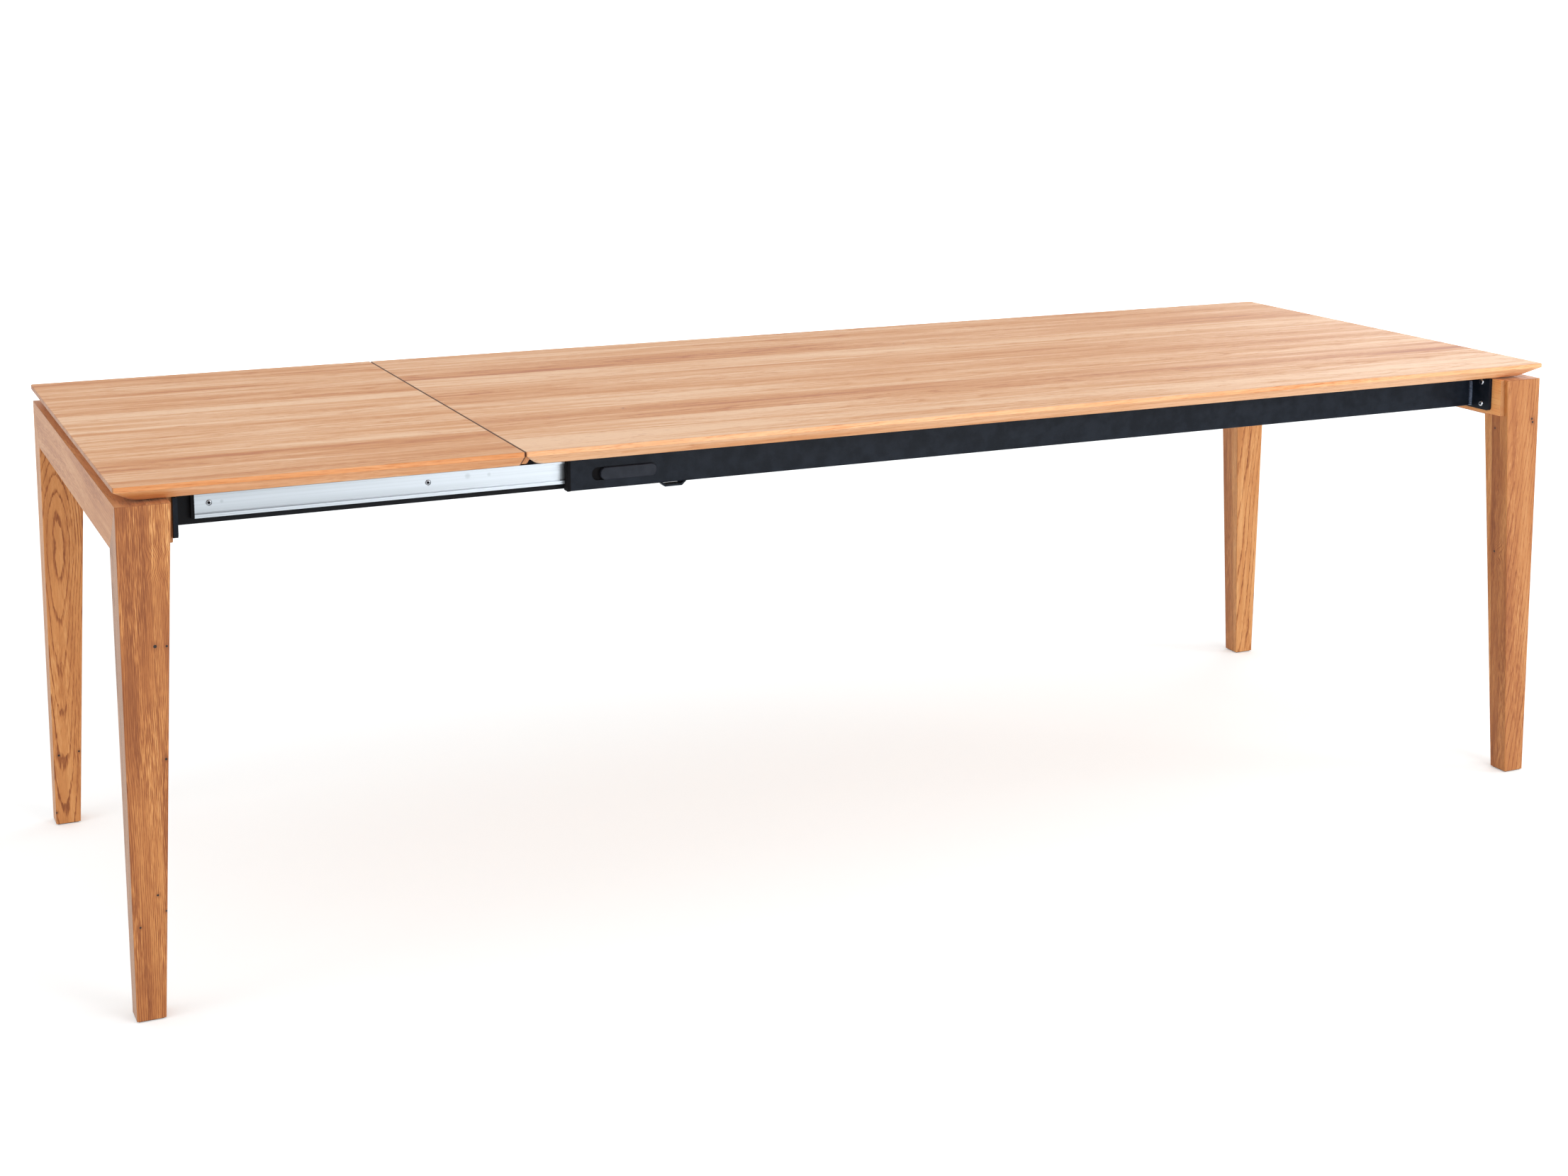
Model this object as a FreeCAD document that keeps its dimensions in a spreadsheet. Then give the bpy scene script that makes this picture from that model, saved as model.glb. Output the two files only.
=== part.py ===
"""Draw leaf table: a beveled oak top, a lift-off leaf, and an end frame that draws out on steel beams.

Frame: origin on the floor under the middle of the extended table, +X along the length towards the
fixed end, -Y towards the front, +Z up.  Millimetres.

The tree of moving groups:
  fixed    main top, right end frame, outer beams (steel channels) and everything screwed to them
  drawn    left end frame, inner beams (steel tubes) and their aluminium slide rails
  leaf     rests on the drawn group between the left end rail and the main top, and lifts off
  latches  one sliding grip with its brake shoe in each outer beam
"""
import FreeCAD
import Part
import os
import re
import Sketcher

Vector = FreeCAD.Vector
LEFT, RIGHT = -1, 1
FRONT, REAR = -1, 1
END_NAMES = {LEFT: "left", RIGHT: "right"}
SIDE_NAMES = {FRONT: "front", REAR: "rear"}
TINY = 1e-6        # two coordinates nearer than this are the same
LONG_EDGE = 100    # longer than any edge that only rounds a corner

doc = FreeCAD.newDocument("draw_leaf_table")

# ---------------------------------------------------------------------------------------------
# Sizes
# ---------------------------------------------------------------------------------------------
dims = doc.addObject("Spreadsheet::Sheet", "dims")

# alias, value or formula, what it is
SIZES = [
    # overall
    ("main_length", "1900", "fixed top, along X"),
    ("leaf_length", "575", "leaf, along X"),
    ("joint_gap", "1.5", "air between leaf and fixed top"),
    ("table_width", "900", "tops, along Y"),
    ("table_height", "760", "floor to top face"),
    # tops
    ("top_thick", "24", "thickness of both tops"),
    ("edge_band", "7", "upright part of the edge, above the bevel"),
    ("bevel_run", "25", "how far the bevel runs in under the top"),
    ("corner_round", "4", "corner radius of the top outline"),
    ("under_round", "13", "corner radius of the flat under the bevel"),
    ("edge_ease", "1", "rounding of the upper edge"),
    ("lip_width", "8", "oak lipping under the joint bevel"),
    ("lip_drop", "15", "height of the lipping"),
    ("lip_inset", "1", "end of the lipping in from the side of the top"),
    ("lip_round", "2", "rounding of its lower edge"),
    # end frames
    ("leg_inset", "2", "leg face in from the end of the top"),
    ("leg_side_inset", "3", "leg face in from the side of the top"),
    ("top_clear", "3.5", "air between leg head and top"),
    ("leg_head_width", "74", "leg along X, at the head"),
    ("leg_foot_width", "40", "leg along X, at the foot"),
    ("leg_mitre_depth", "62", "leg along Y, at the foot of the mitre"),
    ("leg_foot_depth", "40", "leg along Y, at the foot"),
    ("leg_ease", "1.5", "rounding of the long leg edges"),
    ("rail_height", "70", "end rail"),
    ("glide_thick", "2", "floor glide"),
    ("glide_margin", "3", "glide in from the edge of the foot"),
    ("batten_reach", "81.5", "leg face to the inner face of the batten"),
    ("batten_height", "65", "batten on the inside of the end rail"),
    ("left_batten_inset", "44", "end of the left batten in from the side"),
    ("right_batten_inset", "12", "end of the right batten in from the side"),
    # flange plates
    ("plate_thick", "6.5", "flange plate"),
    ("plate_height", "58", "flange plate"),
    ("plate_drop", "0.5", "top of the plate below the leg head"),
    ("plate_inset", "35.5", "near edge of the plate in from the side"),
    ("plate_width", "126.5", "flange plate along Y"),
    ("plate_round", "6", "lower corners of the plate"),
    ("plate_screw_inset", "19.5", "screw row in from the near edge of the plate"),
    ("plate_screw_pitch_y", "87.5", "between the two screw rows"),
    ("plate_screw_drop", "8", "upper screws below the top of the plate"),
    ("plate_screw_pitch_z", "39", "between upper and lower screws"),
    ("weld_leg", "5", "leg of the weld bead"),
    ("weld_crown", "3.1", "its bulging face, out from each wall"),
    ("weld_end", "1.5", "bead short of the beam's edges"),
    # wood screws
    ("screw_head", "10.5", "diameter of the head of the frame screws"),
    ("screw_head_high", "2.6", "height of that head"),
    ("screw_socket", "5", "across the flats of the socket"),
    ("screw_socket_deep", "1.8", "depth of the socket"),
    ("screw_shank", "6", "diameter of the shank"),
    ("screw_length", "40", "length under the head"),
    ("hole_clear", "0.2", "all round a shank in its hole"),
    # outer beams
    ("beam_inset", "84", "face of the outer beam in from the side"),
    ("beam_height", "50", "outer beam"),
    ("beam_air", "10", "top of the beam below the underside of the top"),
    ("channel_depth", "18", "outer beam along Y"),
    ("channel_wall", "3", "wall of the channel"),
    ("channel_round", "3", "outer corners of the channel"),
    # inner beams
    ("inner_set_back", "3", "inner beam behind the channel"),
    ("inner_depth", "25", "inner beam along Y"),
    ("inner_height", "49", "inner beam"),
    ("inner_wall", "2", "wall of the inner beam"),
    ("inner_round", "2.5", "outer corners of the inner beam"),
    ("inner_clear", "0.5", "inner beam under the cross rails"),
    ("inner_length", "1500", "inner beam"),
    ("closing_clear", "0.6", "plate to mouth guide when pushed in"),
    ("tie_width", "30", "tie between the inner beams, along X"),
    ("tie_height", "25", "that tie"),
    ("tie_first", "170", "first tie, from the plate"),
    ("tie_pitch", "1200", "between the two ties"),
    ("cap_flange", "3", "end cap of an inner beam outside the tube"),
    ("cap_plug", "14", "end cap inside the tube"),
    # slide rails
    ("slide_height", "34", "aluminium slide rail"),
    ("slide_depth", "8", "slide rail along Y"),
    ("slide_web", "3", "web of the slide rail"),
    ("slide_lip", "3", "upper lip of the slide rail"),
    ("slide_groove", "1.2", "groove under it, and the depth of both grooves"),
    ("slide_foot_lip", "5", "lower lip of the slide rail"),
    ("slide_foot_groove", "2", "groove above it"),
    ("slide_line", "0.7", "fine groove along the lower lip, wide and deep"),
    ("slide_line_rise", "2.2", "that groove above the foot of the slide rail"),
    ("slide_rise", "10", "foot of the slide rail above the foot of the beam"),
    ("slide_start", "33", "slide rail from the flange plate"),
    ("slide_screw_start", "21", "first screw from the end of the slide rail"),
    ("slide_screw_rise", "20", "its screws above the foot of the slide rail"),
    ("slide_screw_pitch", "315", "between its screws"),
    ("slide_screw_count", "5", "screws in one slide rail"),
    ("slide_screw_head", "8.4", "diameter of the head"),
    ("slide_screw_sunk", "2", "height of the head, let into the web"),
    ("slide_screw_shank", "4", "diameter of the shank"),
    ("slide_screw_past", "3", "shank past the wall of the inner beam"),
    ("end_block", "5", "end block of the slide rail, along X"),
    ("stop_length", "20", "stop at the far end of the slide rail"),
    # guides
    ("slide_clear", "0.4", "between the slide rail and what it runs in"),
    ("guide_flange", "4.8", "mouth guide in front of the channel"),
    ("guide_deep", "16", "mouth guide inside the channel"),
    ("guide_round", "1.2", "rounding of the mouth guide"),
    ("glide_block", "80", "glide block along X"),
    ("glide_block_pitch", "520", "between the two glide blocks"),
    ("stop_clear", "0.5", "stop to glide block when drawn out"),
    # latches
    ("knob_start", "51.5", "grip from the mouth of the beam"),
    ("knob_length", "90", "grip along X"),
    ("knob_height", "19.2", "grip"),
    ("knob_round", "8.5", "corner radius of the grip"),
    ("knob_proud", "3.5", "grip in front of the beam"),
    ("knob_ease", "1", "rounding of its face"),
    ("knob_low", "13.9", "foot of the grip above the foot of the beam"),
    ("knob_clear", "0.4", "grip in its slot"),
    ("latch_travel", "12.5", "travel of the grip"),
    ("slider_margin", "14", "slider beyond the grip at each end"),
    ("slider_height", "30", "slider behind the beam's face"),
    ("slider_thick", "3", "slider"),
    ("slider_clear", "0.3", "slider behind the beam's face"),
    ("shoe_length", "60", "brake shoe"),
    ("shoe_height", "22", "brake shoe"),
    ("shoe_clear", "0.6", "brake shoe to the web of the slide rail"),
    ("strap_start", "149", "keeper strap from the mouth of the beam"),
    ("strap_length", "42", "keeper strap at its root"),
    ("strap_slope", "7", "run of its sloped ends"),
    ("strap_drop", "6.5", "keeper strap below the beam"),
    ("strap_thick", "3", "keeper strap"),
    ("strap_foot", "4", "its cut ends, along the beam"),
    ("strap_depth", "16", "keeper strap along Y"),
    # what carries the tops
    ("cross_width", "40", "cross rail and spacer along X"),
    ("cross_first", "516", "first cross rail from the mouth of the beam"),
    ("cross_pitch", "575", "between the three cross rails"),
    ("spacer_first", "30", "first spacer from the mouth of the beam"),
    ("spacer_margin", "25", "second spacer short of the first glide block"),
    ("top_screw_pitch", "540", "between the two screws of a cross rail"),
    ("top_screw_shank", "4.5", "diameter of the shank of the top screws"),
    ("top_screw_head", "8", "their heads"),
    ("top_screw_high", "2.4", "height of their heads"),
    ("top_screw_length", "20", "length of the top screws"),
    ("screw_tip_clear", "1", "bore past the tip of a top screw"),
    ("tongue_reach", "35", "locating plate under the leaf"),
    ("tongue_hold", "45", "locating plate under the fixed top, past the bevel"),
    ("tongue_width", "50", "locating plate along Y"),
    ("tongue_thick", "3", "locating plate"),
    ("tongue_ramp", "5", "run of the step down to the leaf"),
    ("tongue_sunk", "2", "screw heads let into the locating plates"),
    ("tongue_pitch", "300", "between the locating plates"),
    ("spacer_screw_in", "8", "spacer screws in from the face of the beam"),
    ("leaf_seat", "0.3", "air under the leaf where it rests"),
    ("bearer_length", "40", "bearer on the inner beam"),
    ("bearer_first", "60", "first bearer from the plate"),
    ("bearer_pitch", "380", "between the bearers of a beam"),
    ("pad_size", "16", "square rubber pads on the end rail"),
    ("pad_pitch", "300", "between them"),
    # worked out
    ("half_length", "=(main_length + leaf_length + joint_gap) / 2", "half the extended table"),
    ("half_width", "=table_width / 2", "half the table"),
    ("joint_x", "=leaf_length - half_length", "right end of the leaf"),
    ("main_x", "=joint_x + joint_gap", "left end of the fixed top"),
    ("underside", "=table_height - top_thick", "underside of the tops"),
    ("band_low", "=table_height - edge_band", "foot of the upright edge"),
    ("leg_top", "=underside - top_clear", "leg heads and end rails"),
    ("leg_face", "=half_length - leg_inset", "outer faces of the legs, each way"),
    ("leg_side", "=half_width - leg_side_inset", "side faces of the legs, each way"),
    ("leg_taper", "=(leg_head_width - leg_foot_width) / (leg_top - glide_thick)", "per mm of height"),
    ("batten_low", "=leg_top - batten_height", "foot of the batten"),
    ("plate_top", "=leg_top - plate_drop", "top of the flange plates"),
    ("plate_face", "=leg_face - batten_reach - plate_thick", "their inner faces, each way"),
    ("travel", "=leaf_length + joint_gap", "travel of the drawn end"),
    ("mouth_x", "=travel + closing_clear - plate_face", "mouth of the outer beams"),
    ("channel_x", "=mouth_x + guide_flange", "left end of the channels"),
    ("channel_length", "=plate_face - channel_x", "length of the channels"),
    ("beam_top", "=underside - beam_air", "top of the outer beams"),
    ("beam_low", "=beam_top - beam_height", "foot of the outer beams"),
    ("beam_side", "=half_width - beam_inset", "faces of the outer beams, each way"),
    ("inner_side", "=beam_side - channel_depth - inner_set_back", "faces of the inner beams, each way"),
    ("inner_low", "=beam_top - inner_clear - inner_height", "foot of the inner beams"),
    ("inner_x", "=-plate_face", "left end of the inner beams"),
    ("slide_x", "=inner_x + slide_start", "left end of the slide rails"),
    ("slide_low", "=beam_low + slide_rise", "foot of the slide rails"),
    ("slide_length", "=inner_length - slide_start - end_block", "length of the slide rails"),
    ("slide_front", "=channel_depth + inner_set_back - slide_depth", "slide lips behind the beam's face"),
    ("slide_floor", "=channel_depth + inner_set_back - slide_web", "slide web behind the beam's face"),
    ("glide_block_x", "=slide_x + slide_length - stop_length - stop_clear - glide_block", "second block"),
    ("spacer_pitch", "=glide_block_x - glide_block_pitch - spacer_margin - cross_width - mouth_x"
     " - spacer_first", "between the two spacers of a beam"),
]

ALIASES = {alias for alias, _, _ in SIZES}


def fill_sheet():
    """One row per size: what it is, its number or formula under its alias."""
    for row, (alias, content, meaning) in enumerate(SIZES, start=1):
        dims.set("A%d" % row, meaning)
        dims.set("B%d" % row, content)
        dims.setAlias("B%d" % row, alias)
    doc.recompute()


fill_sheet()


def formula(text):
    """The same expression for use outside the sheet, with its aliases qualified."""
    return re.sub(r"[a-z_]+", lambda word: "dims." + word[0] if word[0] in ALIASES else word[0], text)


def number(text):
    """The value that an expression has now."""
    return float(dims.evalExpression(text))


def bind(thing, prop, text):
    thing.setExpression(prop, formula(text))


# ---------------------------------------------------------------------------------------------
# Building blocks
# ---------------------------------------------------------------------------------------------
def new_body(label, x="0", y="0", z="0"):
    """A PartDesign body at a place given by expressions."""
    body = doc.addObject("PartDesign::Body", label)
    body.Label = label
    for axis, text in zip("xyz", (x, y, z)):
        bind(body, "Placement.Base." + axis, text)
    return body


def origin_part(body, role):
    return next(part for part in body.Origin.OriginFeatures if part.Role == role)


def new_sketch(body, plane, offset="0"):
    """A sketch on one of the body's own planes, moved along that plane's normal.

    XY: sketch axes X and Y, normal +Z.  XZ: X and Z, normal -Y.  YZ: Y and Z, normal +X.
    """
    sketch = body.newObject("Sketcher::SketchObject", body.Label + "_sketch")
    sketch.AttachmentSupport = [(origin_part(body, plane + "_Plane"), "")]
    sketch.MapMode = "FlatFace"
    bind(sketch, "AttachmentOffset.Base.z", offset)
    return sketch


def pin(sketch, geometry, point, x, y):
    """Fix a point of the sketch at two expressions."""
    for kind, text in (("DistanceX", x), ("DistanceY", y)):
        index = sketch.addConstraint(Sketcher.Constraint(kind, -1, 1, geometry, point, number(text)))
        bind(sketch, "Constraints[%d]" % index, text)


def polygon(sketch, corners):
    """A closed outline through the corners, each a pair of expressions."""
    first = sketch.GeometryCount
    places = [Vector(number(x), number(y), 0) for x, y in corners]
    count = len(places)
    for i in range(count):
        sketch.addGeometry(Part.LineSegment(places[i], places[(i + 1) % count]), False)
    for i in range(count):
        after = first + (i + 1) % count
        sketch.addConstraint(Sketcher.Constraint("Coincident", first + i, 2, after, 1))
    for i, (x, y) in enumerate(corners):
        pin(sketch, first + i, 1, x, y)


def rectangle(sketch, left, right, low, high):
    polygon(sketch, [(left, low), (right, low), (right, high), (left, high)])


def circle(sketch, x, y, diameter):
    ring = Part.Circle(Vector(number(x), number(y), 0), Vector(0, 0, 1), number(diameter) / 2)
    index = sketch.addGeometry(ring, False)
    pin(sketch, index, 3, x, y)
    size = sketch.addConstraint(Sketcher.Constraint("Diameter", index, number(diameter)))
    bind(sketch, "Constraints[%d]" % size, diameter)


def hexagon(sketch, x, y, across):
    """A regular hexagon given by the distance across its flats."""
    flat, tip = "(%s) / 2" % across, "(%s) / 3 ^ 0.5" % across
    corners = []
    for along, up in ((flat, "-0.5"), (flat, "0.5"), ("0", "1"), ("-" + flat, "0.5"), ("-" + flat, "-0.5"),
                      ("0", "-1")):
        corners.append(("%s + %s" % (x, along), "%s + %s * %s" % (y, up, tip)))
    polygon(sketch, corners)


def rounded_outline(sketch, left, right, side, round_left, round_right):
    """A rectangle symmetric about the sketch's X axis, its corners rounded or, with None, sharp."""
    corners = [(left, -1, round_left, 1), (right, -1, round_right, -1),
               (right, 1, round_right, -1), (left, 1, round_left, 1)]
    arrivals, departures = [], []
    for turn, (x, sign, radius, inward) in enumerate(corners):
        y = "%d * (%s)" % (sign, side)
        along = ("%s + %d * %s" % (x, inward, radius or "0"), y)
        across = (x, "%d * ((%s) - %s)" % (sign, side, radius or "0"))
        arrivals.append(along if turn % 2 else across)
        departures.append(across if turn % 2 else along)

    def place(pair):
        return Vector(number(pair[0]), number(pair[1]), 0)

    for turn in range(4):
        start, end = departures[turn], arrivals[(turn + 1) % 4]
        sketch.addGeometry(Part.LineSegment(place(start), place(end)), False)
    for turn in range(4):
        pin(sketch, turn, 1, *departures[turn])
        radius = corners[turn][2]
        before = (turn - 1) % 4
        if radius is None:
            sketch.addConstraint(Sketcher.Constraint("Coincident", before, 2, turn, 1))
            continue
        pin(sketch, before, 2, *arrivals[turn])
        entry, leave = place(arrivals[turn]), place(departures[turn])
        corner = Vector(number(corners[turn][0]), corners[turn][1] * number(side), 0)
        centre = entry + leave - corner
        middle = centre + (corner - centre).normalize() * number(radius)
        arc = sketch.addGeometry(Part.Arc(entry, middle, leave), False)
        sketch.addConstraint(Sketcher.Constraint("Coincident", arc, 1, before, 2))
        sketch.addConstraint(Sketcher.Constraint("Coincident", arc, 2, turn, 1))
        size = sketch.addConstraint(Sketcher.Constraint("Radius", arc, number(radius)))
        bind(sketch, "Constraints[%d]" % size, radius)


def pad(body, sketch, length, backwards=False, symmetric=False):
    """Material along the sketch's normal."""
    feature = body.newObject("PartDesign::Pad", body.Label + "_pad")
    feature.Profile = sketch
    feature.Reversed = backwards
    feature.SideType = "Symmetric" if symmetric else "One side"
    bind(feature, "Length", length)
    sketch.Visibility = False
    doc.recompute()
    return feature


def pocket(body, sketch, length, backwards=False, symmetric=True):
    """A cut with the sketch's outline; it must take something away."""
    doc.recompute()
    before = body.Shape.Volume
    feature = body.newObject("PartDesign::Pocket", body.Label + "_pocket")
    feature.Profile = sketch
    feature.Reversed = backwards
    feature.SideType = "Symmetric" if symmetric else "One side"
    bind(feature, "Length", length)
    doc.recompute()
    assert body.Shape.Volume < before - TINY, body.Label + " pocket cuts nothing"
    return feature


def dress(kind, body, chosen, prop, size):
    """A fillet or chamfer on the edges of the tip, in the body's own frame, for which chosen holds."""
    doc.recompute()
    base = body.Tip
    names = ["Edge%d" % i for i, edge in enumerate(base.Shape.Edges, start=1) if chosen(edge)]
    assert names, "%s %s finds no edge" % (body.Label, kind)
    feature = body.newObject("PartDesign::" + kind, "%s_%s" % (body.Label, kind.lower()))
    feature.Base = (base, names)
    bind(feature, prop, size)
    doc.recompute()
    return feature


def fillet(body, radius, chosen):
    return dress("Fillet", body, chosen, "Radius", radius)


def chamfer(body, size, chosen):
    return dress("Chamfer", body, chosen, "Size", size)


def runs_along(axis, shortest=0):
    """Edges parallel to an axis, at least so long."""
    def test(edge):
        span = [getattr(edge.BoundBox, name + "Length") for name in "XYZ"]
        across = [length for name, length in zip("XYZ", span) if name != axis]
        return max(across) < TINY and getattr(edge.BoundBox, axis + "Length") > shortest
    return test


def lies_at(axis, place):
    """Edges in the plane where an axis has the value of an expression."""
    def test(edge):
        low, high = (getattr(edge.BoundBox, axis + end) for end in ("Min", "Max"))
        return abs(low - number(place)) < TINY and abs(high - number(place)) < TINY
    return test


def repeat(body, features, *steps):
    """Copies of features: ("X", spacing, count) is a row along +X, ("-X", ...) one along -X and
    ("mirror", plane) a mirror image."""
    transformations = []
    for step in steps:
        if step[0] == "mirror":
            one = body.newObject("PartDesign::Mirrored", body.Label + "_mirror")
            one.MirrorPlane = (origin_part(body, step[1] + "_Plane"), [""])
        else:
            axis, spacing, count = step
            one = body.newObject("PartDesign::LinearPattern", body.Label + "_row")
            one.Direction = (origin_part(body, axis.strip("-") + "_Axis"), [""])
            one.Reversed = axis.startswith("-")
            bind(one, "Length", "(%s) * ((%s) - 1)" % (spacing, count))
            bind(one, "Occurrences", count)
        transformations.append(one)
    whole = body.newObject("PartDesign::MultiTransform", body.Label + "_copies")
    whole.Originals = features
    whole.Transformations = transformations
    body.Tip = whole
    doc.recompute()
    return whole


# ---------------------------------------------------------------------------------------------
# Tops
# ---------------------------------------------------------------------------------------------
def make_slab(label, left, right, bevel_right):
    """An oak slab with an upright band, under which a bevel runs in to the flat underside."""
    body = new_body(label)
    round_right = "corner_round" if bevel_right else None
    under_right = "under_round" if bevel_right else None
    right_run = "bevel_run" if bevel_right else "0"

    under = new_sketch(body, "XY", "underside")
    rounded_outline(under, left + " + bevel_run", "%s - %s" % (right, right_run),
                    "half_width - bevel_run", "under_round", under_right)
    over = new_sketch(body, "XY", "band_low")
    rounded_outline(over, left, right, "half_width", "corner_round", round_right)
    bevel = body.newObject("PartDesign::AdditiveLoft", label + "_bevel")
    bevel.Profile = under
    bevel.Sections = [over]
    bevel.Ruled = True
    doc.recompute()

    band = new_sketch(body, "XY", "band_low")
    rounded_outline(band, left, right, "half_width", "corner_round", round_right)
    pad(body, band, "edge_band")
    fillet(body, "edge_ease", lies_at("Z", "table_height"))
    return body


def make_joint_lipping():
    """The narrow oak strip under the bevel of the joint, cut to the slope of the side bevels."""
    body = new_body("joint_lipping", x="main_x")
    low = "band_low - lip_drop"
    slope = "bevel_run / (band_low - underside)"
    section = new_sketch(body, "YZ")
    wide = "half_width - lip_inset"
    narrow = "%s - lip_drop * %s" % (wide, slope)
    polygon(section, [("-(%s)" % wide, "band_low"), ("-(%s)" % narrow, low),
                      (narrow, low), (wide, "band_low")])
    pad(body, section, "lip_width")
    above = new_sketch(body, "XZ")
    polygon(above, [("-bevel_run", "band_low + band_low - underside"), ("bevel_run", "underside"),
                    ("bevel_run", "table_height")])
    pocket(body, above, "2 * table_width")
    fillet(body, "lip_round", lambda edge: lies_at("Z", low)(edge) and lies_at("X", "lip_width")(edge))
    return body


# ---------------------------------------------------------------------------------------------
# End frames: every piece is drawn from the outer face of its legs, inwards
# ---------------------------------------------------------------------------------------------
def inward(end, text):
    """An X in an end frame: text counts from the outer face of the legs towards the middle."""
    return "%d * (%s)" % (-end, text)


def frame_body(label, end, y="0"):
    return new_body(label, x="%d * leg_face" % end, y=y)


def cut_leg_taper(body, end):
    """The inner faces of legs and end rail lean together, from the head to the foot of the leg."""
    wedge = new_sketch(body, "XZ")
    polygon(wedge, [(inward(end, "leg_foot_width"), "glide_thick"),
                    (inward(end, "leg_head_width"), "leg_top"),
                    (inward(end, "batten_reach"), "leg_top"),
                    (inward(end, "batten_reach"), "glide_thick")])
    pocket(body, wedge, "2 * table_width")


def make_leg(end, side):
    body = frame_body("%s_%s_leg" % (END_NAMES[end], SIDE_NAMES[side]), end, "%d * leg_side" % side)
    section = new_sketch(body, "YZ")
    polygon(section, [("0", "glide_thick"), ("%d * leg_foot_depth" % -side, "glide_thick"),
                      ("%d * leg_mitre_depth" % -side, "leg_top - rail_height"), ("0", "leg_top")])
    pad(body, section, "leg_head_width", backwards=end == RIGHT)
    cut_leg_taper(body, end)
    fillet(body, "leg_ease", lambda edge: edge.BoundBox.ZLength > number("leg_top - rail_height") / 2
           and abs(edge.BoundBox.YLength) < number("leg_foot_depth"))
    return body


def make_end_rail(end):
    """The rail is mitred onto its two legs, and bored for the screws of the flange plates."""
    body = frame_body(END_NAMES[end] + "_end_rail", end)
    section = new_sketch(body, "YZ")
    long, short = "leg_side", "leg_side - leg_mitre_depth"
    polygon(section, [("-(%s)" % long, "leg_top"), ("-(%s)" % short, "leg_top - rail_height"),
                      (short, "leg_top - rail_height"), (long, "leg_top")])
    pad(body, section, "leg_head_width", backwards=end == RIGHT)
    cut_leg_taper(body, end)
    fillet(body, "leg_ease", lambda edge: runs_along("Y", LONG_EDGE)(edge)
           and lies_at("Z", "leg_top - rail_height")(edge))
    bore_plate_screws(body, end, "batten_reach + plate_thick - screw_length", "leg_head_width")
    return body


def make_batten(end):
    """A wedge-backed batten lies against the leaning faces and gives the plates an upright seat."""
    body = frame_body(END_NAMES[end] + "_batten", end)
    inset = END_NAMES[end] + "_batten_inset"
    foot = "leg_head_width - leg_taper * batten_height"
    section = new_sketch(body, "XZ")
    polygon(section, [(inward(end, foot), "batten_low"), (inward(end, "batten_reach"), "batten_low"),
                      (inward(end, "batten_reach"), "leg_top"), (inward(end, "leg_head_width"), "leg_top")])
    pad(body, section, "2 * (half_width - %s)" % inset, symmetric=True)
    fillet(body, "leg_ease", lambda edge: lies_at("Z", "batten_low")(edge)
           and lies_at("X", inward(end, "batten_reach"))(edge))
    bore_plate_screws(body, end, "0", "batten_reach")
    return body


def plate_screw_place():
    """Centre of the upper screw nearest to the table's front side, as Y and Z."""
    return "-(half_width - plate_inset - plate_screw_inset)", "plate_top - plate_screw_drop"


PLATE_SCREW_COPIES = (("Y", "plate_screw_pitch_y", "2"), ("-Z", "plate_screw_pitch_z", "2"),
                      ("mirror", "XZ"))


def bore_plate_screws(body, end, start, stop):
    """The bores of all eight screws of one end, between two distances from the leg face."""
    y, z = plate_screw_place()
    ring = new_sketch(body, "YZ", inward(end, start))
    circle(ring, y, z, "screw_shank + 2 * hole_clear")
    bore = pocket(body, ring, "%s - (%s)" % (stop, start), backwards=end == LEFT, symmetric=False)
    repeat(body, [bore], *PLATE_SCREW_COPIES)


def make_flange_plate(end, side):
    """A steel plate that carries a beam on the batten of one end frame."""
    body = frame_body("%s_%s_flange" % (END_NAMES[end], SIDE_NAMES[side]), end)
    near = "%d * (half_width - plate_inset)" % side
    far = "%d * (half_width - plate_inset - plate_width)" % side
    outline = new_sketch(body, "YZ", inward(end, "batten_reach"))
    rectangle(outline, near, far, "plate_top - plate_height", "plate_top")
    y, z = plate_screw_place()
    for row in range(2):
        for drop in range(2):
            circle(outline, "%d * (%s + %d * plate_screw_pitch_y)" % (-side, y, row),
                   "%s - %d * plate_screw_pitch_z" % (z, drop), "screw_shank + 2 * hole_clear")
    pad(body, outline, "plate_thick", backwards=end == RIGHT)
    fillet(body, "plate_round", lambda edge: runs_along("X")(edge)
           and lies_at("Z", "plate_top - plate_height")(edge))
    return body


def make_plate_screws(end):
    """Eight socket-head wood screws through the plates into batten and rail."""
    body = frame_body(END_NAMES[end] + "_flange_screws", end)
    seat = "batten_reach + plate_thick"
    y, z = plate_screw_place()
    ring = new_sketch(body, "YZ", inward(end, seat + " - screw_length"))
    circle(ring, y, z, "screw_shank")
    shank = pad(body, ring, "screw_length", backwards=end == RIGHT)
    disc = new_sketch(body, "YZ", inward(end, seat))
    circle(disc, y, z, "screw_head")
    hexagon(disc, y, z, "screw_socket")
    rim = pad(body, disc, "screw_head_high", backwards=end == RIGHT)
    core = new_sketch(body, "YZ", inward(end, seat))
    hexagon(core, y, z, "screw_socket")
    floor = pad(body, core, "screw_head_high - screw_socket_deep", backwards=end == RIGHT)
    repeat(body, [shank, rim, floor], *PLATE_SCREW_COPIES)
    return body


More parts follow.
